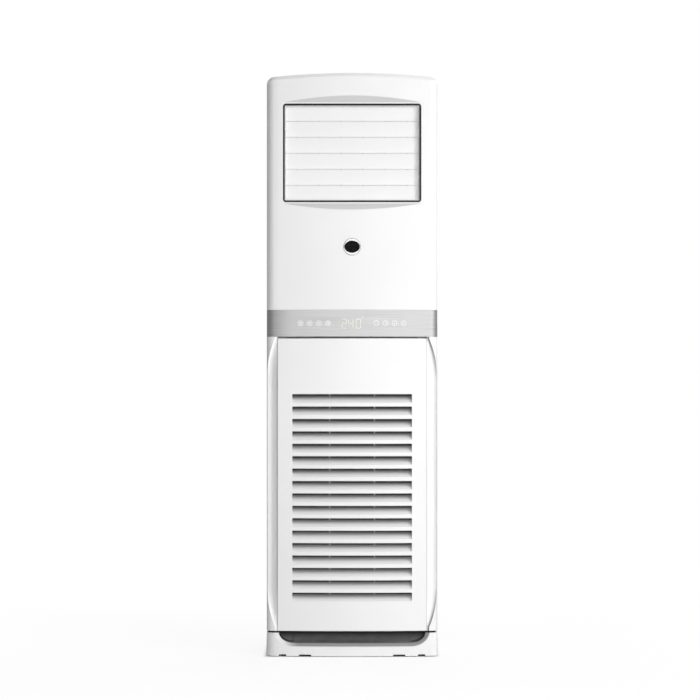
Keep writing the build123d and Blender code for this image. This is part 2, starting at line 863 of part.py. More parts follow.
def vane(index):
    """One upright vane: tapered blade, top and bottom pins, link pin in a notch."""
    x = vane_x[index]
    front = vane_axis_y - vane_front_chord
    back = vane_axis_y + vane_rear_chord
    half = vane_thickness / 2
    with BuildPart() as blade:
        with BuildSketch(Plane.XY.offset(outlet_centre - vane_half_height)):
            with BuildLine():
                nose = ThreePointArc((x - half, front + half), (x, front), (x + half, front + half))
                Polyline(nose @ 1, (x + half / 2, back), (x - half / 2, back), nose @ 0)
            make_face()
        extrude(amount=2 * vane_half_height)
        with BuildSketch(Plane.YZ.offset(x)):
            with Locations((vane_axis_y + vane_notch_front, vane_link_z)):
                Rectangle(vane_rear_chord, vane_notch_height, align=(Align.MIN, Align.CENTER))
        extrude(amount=vane_thickness, both=True, mode=Mode.SUBTRACT)
        pin_half = vane_half_height + slat_end_gap + duct_wall
        with BuildSketch(Plane.XY.offset(outlet_centre - pin_half + slat_end_gap)):
            with Locations((x, vane_axis_y)):
                Circle(vane_pin_radius)
        extrude(amount=2 * pin_half - 2 * slat_end_gap)
        if index == driven_vane:
            with BuildSketch(Plane.XY.offset(outlet_centre + vane_half_height)):
                with Locations((x, vane_axis_y)):
                    Circle(vane_pin_radius)
            extrude(amount=duct_wall + step_motor_socket)
        link_pin_half = vane_notch_height / 2 + vane_link_pin_bite
        with BuildSketch(Plane.XY.offset(vane_link_z - link_pin_half)):
            with Locations((x, vane_axis_y + vane_lever)):
                Circle(vane_link_pin_radius)
        extrude(amount=2 * link_pin_half)
    return blade.part


for i in range(vane_count):
    finish(vane(i), f"vane_{i + 1}")

# Level link in the vanes' notches.
with BuildPart() as vane_link_rod:
    with BuildSketch(Plane.XY.offset(vane_link_z - vane_link_thickness / 2)):
        with Locations((0, vane_axis_y + vane_lever)):
            SlotCenterToCenter((vane_count - 1) * vane_pitch, vane_link_width)
        with Locations(*[(x, vane_axis_y + vane_lever) for x in vane_x]):
            Circle(vane_link_pin_radius + pin_clearance, mode=Mode.SUBTRACT)
    extrude(amount=vane_link_thickness)
finish(vane_link_rod.part, "vane_link_rod")

# Moulded duct behind the frame: a flange across the cabinet and a rectangular throat,
# with the vanes' bearing holes in its floor and ceiling.
with BuildPart() as air_duct:
    with BuildSketch(Plane.XZ.offset(-frame_back)):
        with Locations((0, outlet_centre)):
            Rectangle(2 * inner_half, 2 * duct_flange_height)
            Rectangle(2 * opening_half_width, 2 * opening_half_height, mode=Mode.SUBTRACT)
    extrude(amount=-frame_rail)
    with BuildSketch(Plane.XZ.offset(-frame_back)):
        with Locations((0, outlet_centre)):
            Rectangle(2 * (opening_half_width + duct_wall), 2 * (opening_half_height + duct_wall))
            Rectangle(2 * opening_half_width, 2 * opening_half_height, mode=Mode.SUBTRACT)
    extrude(amount=-duct_depth)
    with BuildSketch(Plane.XY.offset(outlet_centre - duct_flange_height)):
        with Locations(*[(x, vane_axis_y) for x in vane_x]):
            Circle(vane_pin_radius + pin_clearance)
    extrude(amount=2 * duct_flange_height, mode=Mode.SUBTRACT)
finish(air_duct.part, "air_duct")

vane_motor_plane = Plane(
    origin=(vane_x[driven_vane], vane_axis_y, outlet_centre + opening_half_height + duct_wall),
    x_dir=(1, 0, 0),
    z_dir=(0, 0, 1),
)
with BuildPart() as vane_motor:
    add(step_motor(vane_motor_plane))
finish(vane_motor.part, "vane_motor")

# ---- Control band ------------------------------------------------------------------------

# Brushed band that wraps round both front corners.
with BuildPart() as control_band:
    with BuildSketch(Plane.XY.offset(band_bottom)):
        add(plan(0, seam_y))
        add(plan(band_wall, seam_y), mode=Mode.SUBTRACT)
    extrude(amount=band_height)
finish(control_band.part, "control_band")

# Touch and display board close behind the band.
board_y = face_y(board_width / 2, band_wall) + turning_gap
board_middle = band_bottom + band_height / 2
with BuildPart() as display_board:
    with BuildSketch(Plane.XZ.offset(-board_y)):
        with Locations((0, board_middle)):
            RectangleRounded(board_width, board_height, board_corner)
            with GridLocations(
                board_width - 2 * board_screw_inset, board_height - 2 * board_screw_inset, 2, 2
            ):
                Circle(screw_radius, mode=Mode.SUBTRACT)
    extrude(amount=-board_thickness)
    with BuildSketch(Plane.XZ.offset(-(board_y + board_thickness))):
        with Locations((0, board_middle)):
            Rectangle(display_width, display_height)
    extrude(amount=-display_depth)
finish(display_board.part, "display_board")

# ---- Intake door -------------------------------------------------------------------------

door_half_width = half_width - door_side_margin
door_top = band_bottom - door_gap
door_back = seam_y - skin - door_back_gap


def door_plan(inset):
    """Outline of the door from above: the cabinet's bow between two straight sides."""
    half = door_half_width - inset
    side_y = face_y(half, inset)
    with BuildSketch() as outline:
        with BuildLine():
            bow = ThreePointArc((-half, side_y), (0, front_y + inset), (half, side_y))
            Polyline(bow @ 1, (half, door_back), (-half, door_back), bow @ 0)
        make_face()
    return outline.sketch


slot_half_width = door_half_width - slot_side_margin
grille_bottom = body_bottom + grille_bottom_margin
grille_top = door_top - grille_top_margin
slot_pitch = (grille_top - grille_bottom + slot_bar) / slot_count
slot_height = slot_pitch - slot_bar
grille_centre = (grille_bottom + grille_top) / 2
slot_bottoms = [grille_bottom + slot_pitch * i for i in range(slot_count)]
outer_rib_x = slot_half_width + outer_rib_offset
# Distance of each pair of ribs from the middle, and where it starts behind the face.
ribs = ((inner_rib_x, blade_run - rib_bite), (outer_rib_x, skin / 2))
stud_x = door_half_width - stud_side_margin
stud_low = body_bottom + stud_bottom_margin
stud_high = door_top - stud_top_margin
stud_heights = (stud_low, (stud_low + stud_high) / 2, stud_high)
grille_angle = degrees(outer_rib_x / bow_radius)
grille_left = Plane(
    origin=(0, bow_centre, 0),
    x_dir=(-sin(radians(grille_angle)), -cos(radians(grille_angle)), 0),
    z_dir=(-cos(radians(grille_angle)), sin(radians(grille_angle)), 0),
)

# Moulded door: a bowed tray with a row of slots.  Behind each slot a blade rises inwards
# from the lower edge, following the bow.  Upright ribs carry the blades: two close the
# slots' ends, and two cross behind the blades' rear edges.
with BuildPart() as grille_door:
    with BuildSketch(Plane.XY.offset(body_bottom)):
        add(door_plan(0))
    extrude(amount=door_top - body_bottom)
    bowed_face = grille_door.faces().sort_by(Axis.Y)[0]
    fillet(bowed_face.edges(), door_edge_round)
    with BuildSketch(Plane.XY.offset(body_bottom + skin)):
        add(door_plan(skin))
    extrude(amount=door_top - body_bottom - 2 * skin, mode=Mode.SUBTRACT)
    with BuildSketch(Plane.XZ.offset(-(front_y + front_bow))):
        with Locations((0, grille_centre)):
            with GridLocations(1, slot_pitch, 1, slot_count):
                Rectangle(2 * slot_half_width, slot_height)
    extrude(amount=2 * front_bow, mode=Mode.SUBTRACT)
    with BuildSketch(grille_left):
        for bottom in slot_bottoms:
            top = bottom + slot_height - blade_throat
            Polygon(
                (bow_radius - door_edge_round / 2, bottom),
                (bow_radius - blade_run, top),
                (bow_radius - blade_run, top - blade_thickness),
                (bow_radius - door_edge_round, bottom - blade_thickness),
                align=None,
            )
    revolve(axis=Axis((0, bow_centre, 0), (0, 0, 1)), revolution_arc=2 * grille_angle)
    with BuildSketch(Plane.XY.offset(grille_centre - slot_pitch * slot_count / 2)):
        for distance, start in ribs:
            for x in (-distance, distance):
                with Locations((x, face_y(x) + start)):
                    Rectangle(
                        rib_width, blade_run + skin - start, align=(Align.CENTER, Align.MIN)
                    )
    extrude(amount=slot_pitch * slot_count)
    with BuildSketch(Plane.XZ.offset(-face_y(stud_x, skin / 2))):
        with Locations(*[(side * stud_x, z) for side in (-1, 1) for z in stud_heights]):
            Circle(stud_radius)
    extrude(amount=-(door_back + stud_reach - face_y(stud_x, skin / 2)))
finish(grille_door.part, "grille_door")

# ---- Front stiles with the grip coves ----------------------------------------------------

stile_top = band_bottom - panel_seam
stile_inner = door_half_width - stile_flange
stile_edge = door_half_width + door_side_gap
cove_deep_x = half_width - cove_deep_inset
cove_deep_y = front_y + cove_deep_setback
cove_shallow_x = half_width - cove_shallow_inset
cove_shallow_y = front_y - cove_shallow_proud
cove_upper_turn = band_bottom - cove_upper_turn_drop
cove_upper_end = band_bottom - cove_upper_end_drop


def cove_cutter():
    """Round groove that runs deep beside the door and swings out to the face at its ends."""
    with BuildPart() as cutter:
        with BuildLine():
            FilletPolyline(
                (cove_shallow_x, cove_shallow_y, body_bottom - 3 * cove_radius),
                (cove_shallow_x, cove_shallow_y, cove_lower_end),
                (cove_deep_x, cove_deep_y, cove_lower_turn),
                (cove_deep_x, cove_deep_y, cove_upper_turn),
                (cove_shallow_x, cove_shallow_y, cove_upper_end),
                (cove_shallow_x, cove_shallow_y, band_bottom + 3 * cove_radius),
                radius=cove_blend,
            )
        with BuildSketch(Plane.XY.offset(body_bottom - 3 * cove_radius)):
            with Locations((cove_shallow_x, cove_shallow_y)):
                Circle(cove_radius)
        sweep()
    return cutter.part


with BuildPart() as right_front_stile:
    with BuildSketch(Plane.XY.offset(body_bottom)):
        add(plan(0, seam_y))
        with Locations((stile_edge, 0)):
            Rectangle(
                corner_radius * 2, overall_depth, align=(Align.MIN, Align.CENTER), mode=Mode.INTERSECT
            )
        with Locations((stile_inner, seam_y)):
            Rectangle(stile_edge - stile_inner, skin, align=(Align.MIN, Align.MAX))
    extrude(amount=stile_top - body_bottom)
    add(cove_cutter(), mode=Mode.SUBTRACT)
    with BuildSketch(Plane.XZ.offset(-seam_y)):
        with Locations(*[(stud_x, z) for z in stud_heights]):
            Circle(stud_radius + 2 * turning_gap)
    extrude(amount=skin, mode=Mode.SUBTRACT)
finish(right_front_stile.part, "right_front_stile")

with BuildPart() as left_front_stile:
    mirror(right_front_stile.part, about=Plane.YZ)
finish(left_front_stile.part, "left_front_stile")

# Spring catches behind the stiles that grip the door's studs.
with BuildPart() as door_catches:
    with BuildSketch(Plane.XZ.offset(-seam_y)):
        with Locations(*[(side * stud_x, z) for side in (-1, 1) for z in stud_heights]):
            Circle(catch_radius)
            Circle(stud_radius + turning_gap, mode=Mode.SUBTRACT)
    extrude(amount=-stud_reach)
finish(door_catches.part, "door_catches")

# ---- Intake rails and filter -------------------------------------------------------------

rail_half = half_width - side_flange
filter_half_width = door_half_width - filter_side_margin
filter_front = seam_y + filter_setback
top_rail_bottom = band_bottom - top_rail_drop
filter_bottom = bottom_rail_top - bottom_rail_groove
filter_top = top_rail_bottom + filter_top_bite


def intake_rail(bottom, top, groove_bottom, groove_top):
    """Cross rail behind the door with a groove for one edge of the filter."""
    with BuildPart() as rail:
        with BuildSketch(Plane.XY.offset(bottom)):
            with Locations((0, seam_y)):
                Rectangle(2 * rail_half, rail_depth, align=(Align.CENTER, Align.MIN))
        extrude(amount=top - bottom)
        with BuildSketch(Plane.XY.offset(groove_bottom)):
            with Locations((0, filter_front - filter_play)):
                Rectangle(
                    2 * (filter_half_width + filter_play),
                    filter_thickness + 2 * filter_play,
                    align=(Align.CENTER, Align.MIN),
                )
        extrude(amount=groove_top - groove_bottom, mode=Mode.SUBTRACT)
    return rail.part


with BuildPart() as intake_top_rail:
    groove_top = top_rail_bottom + top_rail_groove
    add(intake_rail(top_rail_bottom, stile_top, top_rail_bottom, groove_top))
finish(intake_top_rail.part, "intake_top_rail")

with BuildPart() as intake_bottom_rail:
    add(intake_rail(body_bottom, bottom_rail_top, filter_bottom, bottom_rail_top))
finish(intake_bottom_rail.part, "intake_bottom_rail")

# Washable filter: a thin frame with bars over a mesh sheet.
filter_height = filter_top - filter_bottom
with BuildPart() as intake_filter:
    with BuildSketch(Plane.XZ.offset(-filter_front)):
        with Locations((0, filter_bottom + filter_height / 2)):
            Rectangle(2 * filter_half_width, filter_height)
            Rectangle(
                2 * (filter_half_width - filter_border),
                filter_height - 2 * filter_border,
                mode=Mode.SUBTRACT,
            )
            with GridLocations(2 * filter_half_width / filter_columns, 1, filter_columns - 1, 1):
                Rectangle(filter_bar, filter_height)
            with GridLocations(1, filter_height / filter_rows, 1, filter_rows - 1):
                Rectangle(2 * filter_half_width, filter_bar)
    extrude(amount=-filter_thickness)
    with BuildSketch(Plane.XZ.offset(-(filter_front + (filter_thickness - filter_mesh) / 2))):
        with Locations((0, filter_bottom + filter_height / 2)):
            Rectangle(2 * filter_half_width - filter_bar, filter_height - filter_bar)
    extrude(amount=-filter_mesh)
finish(intake_filter.part, "intake_filter")

# ---- Fan section -------------------------------------------------------------------------

divider_height = band_bottom - divider_drop
divider_front = seam_y + shelf_setback
fan_x = -scroll_square
fan_z = (body_bottom + divider_height) / 2 - fan_drop
scroll_back = half_depth - motor_bay
scroll_front = scroll_back - scroll_depth
wheel_front = scroll_front + wheel_front_gap
wheel_back = scroll_back - wheel_back_gap
hub_front = wheel_back - hub_length
first_radius = wheel_radius + scroll_square / 2 + scroll_clearance
last_radius = first_radius + 2 * scroll_square
scroll_right = fan_x + scroll_square / 2 + last_radius
scroll_left = fan_x - scroll_square / 2 - first_radius
throat_x = fan_x + scroll_throat
tongue_z = fan_z - scroll_square / 2 + first_radius


def scroll_outline():
    """Volute line: throat wall, tongue, three growing quarter arcs and the outer wall."""
    step = scroll_square / 2
    with BuildLine() as outline:
        FilletPolyline(
            (throat_x, divider_height),
            (throat_x, tongue_z),
            (fan_x - step, tongue_z),
            radius=scroll_throat_radius,
        )
        CenterArc((fan_x - step, fan_z - step), first_radius, 90, 90)
        CenterArc((fan_x + step, fan_z - step), first_radius + scroll_square, 180, 90)
        outer = CenterArc((fan_x + step, fan_z + step), last_radius, 270, 90)
        Line(outer @ 1, (scroll_right, divider_height))
    return outline.line


with BuildPart() as scroll_wrap:
    with BuildSketch(Plane.XZ.offset(-scroll_front)):
        trace(scroll_outline(), scroll_sheet)
    extrude(amount=-(scroll_back - scroll_front))
finish(scroll_wrap.part, "scroll_wrap")

# Front plate of the volute with the rolled inlet lip.
lip_radius = inlet_radius + inlet_lip
with BuildPart() as scroll_front_plate:
    with BuildSketch(Plane.XZ.offset(-scroll_front)):
        with BuildLine():
            add(scroll_outline())
            Line((scroll_right, divider_height), (throat_x, divider_height))
        make_face()
        with Locations((fan_x, fan_z)):
            Circle(lip_radius, mode=Mode.SUBTRACT)
    extrude(amount=scroll_sheet)
    with BuildSketch(Plane.XY.offset(fan_z)):
        with BuildLine():
            lip_start = (fan_x + lip_radius, scroll_front - scroll_sheet)
            lip_end = (fan_x + inlet_radius, scroll_front - scroll_sheet + inlet_lip)
            lip_arc = RadiusArc(lip_start, lip_end, inlet_lip)
            inner_arc = RadiusArc(
                (fan_x + inlet_radius + scroll_sheet, lip_end[1]),
                (fan_x + lip_radius, scroll_front),
                -(inlet_lip - scroll_sheet),
            )
            Line(lip_arc @ 1, inner_arc @ 0)
            Line(inner_arc @ 1, lip_arc @ 0)
        make_face()
    revolve(axis=Axis((fan_x, 0, fan_z), (0, 1, 0)), revolution_arc=360)
finish(scroll_front_plate.part, "scroll_front_plate")

# Back plate of the volute.  It stands on the chassis deck by a folded foot.
plate_half = (scroll_right - scroll_left) / 2 + plate_margin
with BuildPart() as scroll_back_plate:
    with BuildSketch(Plane.XZ.offset(-scroll_back)):
        with Locations((0, body_bottom)):
            Rectangle(2 * plate_half, divider_height - body_bottom, align=(Align.CENTER, Align.MIN))
        with Locations((fan_x, fan_z)):
            Circle(motor_radius, mode=Mode.SUBTRACT)
    extrude(amount=-scroll_sheet)
    with BuildSketch(Plane.XY.offset(body_bottom)):
        with Locations((0, scroll_back)):
            Rectangle(2 * plate_half, 2 * side_flange, align=(Align.CENTER, Align.MIN))
    extrude(amount=scroll_sheet)
finish(scroll_back_plate.part, "scroll_back_plate")

bracket_y = scroll_back + scroll_sheet
motor_y = bracket_y + bracket_thickness
with BuildPart() as motor_bracket:
    with BuildSketch(Plane.XZ.offset(-bracket_y)):
        with Locations((fan_x, fan_z)):
            RectangleRounded(bracket_size, bracket_size, bracket_corner)
            Circle(bracket_hole, mode=Mode.SUBTRACT)
            with PolarLocations(motor_bolt_circle / 2, 4, start_angle=45):
                Circle(screw_radius, mode=Mode.SUBTRACT)
    extrude(amount=-bracket_thickness)
finish(motor_bracket.part, "motor_bracket")

with BuildPart() as fan_motor:
    with BuildSketch(Plane.XZ.offset(-motor_y)):
        with Locations((fan_x, fan_z)):
            Circle(motor_radius)
    extrude(amount=-motor_length)
    rear_edge = fan_motor.faces().sort_by(Axis.Y)[-1].edges()
    fillet(rear_edge, motor_round)
    with BuildSketch(Plane.XZ.offset(-motor_y)):
        with Locations((fan_x, fan_z)):
            Circle(bracket_hole - turning_gap)
    extrude(amount=bracket_thickness)
    with BuildSketch(Plane.XZ.offset(-bracket_y)):
        with Locations((fan_x, fan_z)):
            Circle(shaft_radius + pin_clearance)
    extrude(amount=-motor_length / 2, mode=Mode.SUBTRACT)
finish(fan_motor.part, "fan_motor")

with BuildPart() as motor_shaft:
    with BuildSketch(Plane.XZ.offset(-(hub_front - 2 * wheel_ring))):
        with Locations((fan_x, fan_z)):
            Circle(shaft_radius)
    extrude(amount=-(bracket_y + motor_length / 2 - hub_front))
finish(motor_shaft.part, "motor_shaft")


def fan_blade():
    """Section of one forward-curved blade at the wheel's right-hand side."""
    with BuildSketch() as section:
        with BuildLine():
            root = (wheel_inner_radius + blade_root_inset, -blade_root_lag)
            tip = (wheel_radius - blade_tip_inset, blade_tip_lead)
            RadiusArc(root, tip, blade_skew)
        trace(line_width=fan_blade_thickness)
    return section.sketch


# Forward-curved wheel: back plate, hub, a ring of blades and a front ring.
with BuildPart() as fan_wheel:
    with BuildSketch(Plane.XZ.offset(-wheel_back)):
        with Locations((fan_x, fan_z)):
            Circle(wheel_radius)
    extrude(amount=-wheel_plate)
    with BuildSketch(Plane.XZ.offset(-wheel_front)):
        with Locations((fan_x, fan_z)):
            Circle(wheel_radius)
            Circle(wheel_inner_radius, mode=Mode.SUBTRACT)
    extrude(amount=-wheel_ring)
    with BuildSketch(Plane.XZ.offset(-wheel_front)):
        with Locations((fan_x, fan_z)):
            with PolarLocations(0, blade_count):
                add(fan_blade())
    extrude(amount=-(wheel_back - wheel_front))
    with BuildSketch(Plane.XZ.offset(-hub_front)):
        with Locations((fan_x, fan_z)):
            Circle(hub_radius)
    extrude(amount=-(wheel_back - hub_front))
    with BuildSketch(Plane.XZ.offset(-(hub_front - wheel_ring))):
        with Locations((fan_x, fan_z)):
            Circle(shaft_radius + pin_clearance)
    extrude(amount=-(wheel_back - hub_front + 2 * wheel_ring), mode=Mode.SUBTRACT)
finish(fan_wheel.part, "fan_wheel")

pan_front = divider_front
spigot_x = half_width - spigot_side_margin
spigot_y = pan_front + spigot_setback

# Steel shelf between the fan section and the coil section.
with BuildPart() as divider_plate:
    with BuildSketch(Plane.XY.offset(divider_height)):
        with Locations((0, divider_front)):
            Rectangle(2 * inner_half, rear_panel_y - divider_front, align=(Align.CENTER, Align.MIN))
        with Locations((throat_x, scroll_front)):
            Rectangle(
                scroll_right - throat_x,
                scroll_back - scroll_front,
                align=(Align.MIN, Align.MIN),
                mode=Mode.SUBTRACT,
            )
        with Locations((half_width - pipe_notch_width, pipe_hole_y - pipe_notch_margin)):
            Rectangle(half_width, half_depth, align=(Align.MIN, Align.MIN), mode=Mode.SUBTRACT)
        with Locations((spigot_x, spigot_y)):
            Circle(spigot_radius + spigot_hole_gap, mode=Mode.SUBTRACT)
    extrude(amount=divider_sheet)
finish(divider_plate.part, "divider_plate")

# ---- Evaporator --------------------------------------------------------------------------

pan_bottom = divider_height + pan_lift
pan_back = pan_front + pan_depth
coil_half_width = half_width - coil_side_margin
coil_foot_y = seam_y + coil_foot_setback
coil_foot_z = pan_bottom + coil_foot_rise
tilt = asin((rear_panel_y - coil_rear_gap - coil_foot_y) / coil_length)
coil_up = Vector(0, sin(tilt), cos(tilt))
coil_normal = Vector(0, -cos(tilt), sin(tilt))
coil_foot = Vector(0, coil_foot_y, coil_foot_z)
coil_plane = Plane(origin=coil_foot, x_dir=(1, 0, 0), z_dir=coil_normal)
end_plate_x = coil_half_width + end_plate


def on_coil(x, along):
    """Point on the coil's middle plane, at a distance up its slope."""
    return Vector(x, 0, 0) + coil_foot + coil_up * along


with BuildPart() as evaporator_core:
    with BuildSketch(coil_plane.offset(-coil_thickness / 2)):
        Rectangle(2 * coil_half_width, coil_length, align=(Align.CENTER, Align.MIN))
    extrude(amount=coil_thickness)
finish(evaporator_core.part, "evaporator_core")

# End plates with tabs that reach the cabinet sides.
with BuildPart() as evaporator_end_plates:
    with BuildSketch(coil_plane.offset(-end_plate_width / 2)):
        for side in (-1, 1):
            with Locations((side * (coil_half_width + end_plate / 2), 0)):
                Rectangle(end_plate, coil_length, align=(Align.CENTER, Align.MIN))
    extrude(amount=end_plate_width)
    with BuildSketch(coil_plane.offset(-end_plate_width / 2)):
        tab_length = inner_half - coil_half_width
        for side in (-1, 1):
            for start in (end_plate_tab, coil_length - end_plate_tab):
                with Locations((side * (coil_half_width + tab_length / 2), start)):
                    Rectangle(tab_length, end_plate_tab, align=(Align.CENTER, Align.MIN))
    extrude(amount=end_plate)
finish(evaporator_end_plates.part, "evaporator_end_plates")

# Copper return bends outside both end plates.
with BuildPart() as return_bends:
    for side in (-1, 1):
        for i in range(bend_count):
            along = coil_length / 2 + bend_spacing * (i - (bend_count - 1) / 2)
            middle = on_coil(side * end_plate_x, along)
            with BuildSketch(Plane(origin=middle - coil_up * bend_radius, z_dir=(side, 0, 0))):
                Circle(bend_tube_radius)
            revolve(axis=Axis(middle, coil_normal * side), revolution_arc=180)
finish(return_bends.part, "return_bends")

# Drain pan under the coil's foot, with a spigot through the shelf.
with BuildPart() as drain_pan:
    with BuildSketch(Plane.XY.offset(pan_bottom)):
        with Locations((0, pan_front)):
            Rectangle(2 * inner_half, pan_back - pan_front, align=(Align.CENTER, Align.MIN))
    extrude(amount=pan_height)
    with BuildSketch(Plane.XY.offset(pan_bottom + pan_wall)):
        with Locations((0, pan_front + pan_wall)):
            Rectangle(
                2 * (inner_half - pan_wall),
                pan_back - pan_front - 2 * pan_wall,
                align=(Align.CENTER, Align.MIN),
            )
    extrude(amount=pan_height, mode=Mode.SUBTRACT)
    with BuildSketch(Plane.XY.offset(pan_bottom - spigot_drop)):
        with Locations((spigot_x, spigot_y)):
            Circle(spigot_radius)
    extrude(amount=spigot_drop)
    with BuildSketch(Plane.XY.offset(pan_bottom - spigot_drop)):
        with Locations((spigot_x, spigot_y)):
            Circle(spigot_bore)
    extrude(amount=spigot_drop + pan_wall, mode=Mode.SUBTRACT)
finish(drain_pan.part, "drain_pan")


def copper_pipe(radius, *route):
    """Bent copper pipe along a route, open at its lower end."""
    start = Vector(*route[0])
    toward = (Vector(*route[1]) - start).normalized()
    with BuildPart() as pipe:
        with BuildLine():
            FilletPolyline(*route, radius=pipe_bend_radius)
        with BuildSketch(Plane(origin=start, z_dir=toward)):
            Circle(radius)
        sweep()
        with BuildSketch(Plane.YZ.offset(route[-1][0])):
            with Locations((route[-1][1], route[-1][2])):
                Circle(radius - pipe_wall)
        extrude(amount=-pipe_bend_radius / 2, mode=Mode.SUBTRACT)
    return pipe.part


pipe_drop_x = half_width - pipe_drop_margin
pipe_reach = half_width - pipe_end_margin
gas_riser_x = half_width - gas_riser_margin
gas_drop_y = pipe_hole_y + gas_pipe_offset
gas_pipe_end = pipe_hole_z + gas_pipe_offset
liquid_riser_x = half_width - liquid_riser_margin
liquid_drop_y = pipe_hole_y - liquid_pipe_setback
liquid_pipe_end = pipe_hole_z - liquid_pipe_drop

gas_start = on_coil(end_plate_x, coil_length / 2 + bend_spacing)
with BuildPart() as gas_pipe:
    add(
        copper_pipe(
            gas_pipe_radius,
            (gas_start.X, gas_start.Y, gas_start.Z),
            (gas_riser_x, gas_start.Y, gas_start.Z),
            (gas_riser_x, gas_drop_y, gas_start.Z - gas_pipe_slope),
            (gas_riser_x, gas_drop_y, divider_height + pipe_shelf_rise),
            (pipe_drop_x, gas_drop_y, divider_height - pipe_shelf_drop),
            (pipe_drop_x, gas_drop_y, gas_pipe_end),
            (pipe_reach, gas_drop_y, gas_pipe_end),
        )
    )
finish(gas_pipe.part, "gas_pipe")

liquid_start = on_coil(end_plate_x, coil_length / 2 - bend_spacing)
with BuildPart() as liquid_pipe:
    add(
        copper_pipe(
            liquid_pipe_radius,
            (liquid_start.X, liquid_start.Y, liquid_start.Z),
            (liquid_riser_x, liquid_start.Y, liquid_start.Z),
            (liquid_riser_x, liquid_drop_y, liquid_start.Z),
            (liquid_riser_x, liquid_drop_y, divider_height + pipe_shelf_rise),
            (pipe_drop_x, liquid_drop_y, divider_height - pipe_shelf_drop),
            (pipe_drop_x, liquid_drop_y, liquid_pipe_end),
            (pipe_reach, liquid_drop_y, liquid_pipe_end),
        )
    )
finish(liquid_pipe.part, "liquid_pipe")

# ---- Electric parts ----------------------------------------------------------------------

box_left = -inner_half
box_right = box_left + box_width
box_bottom = panel_bottom + box_lift
box_top = box_bottom + box_height
box_front = seam_y + box_setback
box_middle_x = (box_left + box_right) / 2
box_middle_z = (box_bottom + box_top) / 2
box_floor_y = box_front + box_depth - sheet

# Folded tray against the left side, closed by a flat cover.
with BuildPart() as control_box:
    with BuildSketch(Plane.XZ.offset(-box_front)):
        with Locations((box_middle_x, box_middle_z)):
            Rectangle(box_width, box_height)
    extrude(amount=-box_depth)
    with BuildSketch(Plane.XZ.offset(-box_front)):
        with Locations((box_middle_x, box_middle_z)):
            Rectangle(box_width - 2 * sheet, box_height - 2 * sheet)
    extrude(amount=-(box_depth - sheet), mode=Mode.SUBTRACT)
finish(control_box.part, "control_box")

with BuildPart() as control_box_cover:
    with BuildSketch(Plane.XZ.offset(-box_front)):
        with Locations((box_middle_x, box_middle_z)):
            Rectangle(box_width, box_height)
            with GridLocations(box_width - 2 * side_flange, box_height - side_flange, 2, 2):
                Circle(screw_radius, mode=Mode.SUBTRACT)
    extrude(amount=sheet)
finish(control_box_cover.part, "control_box_cover")

board_x = box_left + sheet + side_flange + main_board_width / 2
standoff_spacing = main_board_width - 2 * standoff_inset
standoff_rise = main_board_height - 2 * standoff_inset
with BuildPart() as main_board:
    with BuildSketch(Plane.XZ.offset(-(box_floor_y - standoff))):
        with Locations((board_x, box_middle_z)):
            Rectangle(main_board_width, main_board_height)
    extrude(amount=board_thickness)
    with BuildSketch(Plane.XZ.offset(-box_floor_y)):
        with Locations((board_x, box_middle_z)):
            with GridLocations(standoff_spacing, standoff_rise, 2, 2):
                Circle(standoff_radius)
    extrude(amount=standoff)
    with BuildSketch(Plane.XZ.offset(-(box_floor_y - standoff - board_thickness))):
        with Locations((board_x - chip_side, box_middle_z + chip_rise)):
            Rectangle(chip_width, chip_height)
        with Locations((board_x + chip_side, box_middle_z - relay_drop)):
            with GridLocations(relay_pitch, 1, relay_count, 1):
                Rectangle(relay_width, relay_height)
    extrude(amount=component_height)
finish(main_board.part, "main_board")

capacitor_x = box_right - sheet - capacitor_radius - side_flange
with BuildPart() as run_capacitor:
    with BuildSketch(Plane.XY.offset(box_bottom + sheet)):
        with Locations((capacitor_x, box_front + box_depth / 2)):
            Circle(capacitor_radius)
    extrude(amount=capacitor_length)
    fillet(run_capacitor.faces().sort_by(Axis.Z)[-1].edges(), capacitor_round)
finish(run_capacitor.part, "run_capacitor")

terminal_x = box_right - sheet - side_flange / 2 - terminal_width / 2
terminal_z = box_top - sheet - side_flange - terminal_height / 2
terminal_pitch = terminal_width / terminal_poles
with BuildPart() as terminal_block:
    with BuildSketch(Plane.XZ.offset(-box_floor_y)):
        with Locations((terminal_x, terminal_z)):
            Rectangle(terminal_width, terminal_height)
    extrude(amount=terminal_depth)
    with BuildSketch(Plane.XZ.offset(-(box_floor_y - terminal_depth))):
        with Locations((terminal_x, terminal_z)):
            with GridLocations(terminal_pitch, 1, terminal_poles, 1):
                Rectangle(terminal_pitch - terminal_wall, terminal_height)
    extrude(amount=-terminal_depth / 2, mode=Mode.SUBTRACT)
finish(terminal_block.part, "terminal_block")

# Bush for the mains cable in the right side.
with BuildPart() as cable_gland:
    with BuildSketch(Plane.YZ.offset(half_width)):
        with Locations((pipe_hole_y, gland_z)):
            Circle(gland_nut_radius)
    extrude(amount=screw_head_height)
    with BuildSketch(Plane.YZ.offset(half_width)):
        with Locations((pipe_hole_y, gland_z)):
            Circle(gland_radius)
    extrude(amount=-side_flange)
    with BuildSketch(Plane.YZ.offset(inner_half)):
        with Locations((pipe_hole_y, gland_z)):
            RegularPolygon(gland_nut_radius, 6)
    extrude(amount=-side_flange / 2)
    with BuildSketch(Plane.YZ.offset(half_width + screw_head_height)):
        with Locations((pipe_hole_y, gland_z)):
            Circle(gland_bore)
    extrude(amount=-2 * side_flange, mode=Mode.SUBTRACT)
finish(cable_gland.part, "cable_gland")
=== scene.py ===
from math import cos, pi, radians, sin, sqrt

import bmesh
import bpy
from mathutils import Matrix, Vector


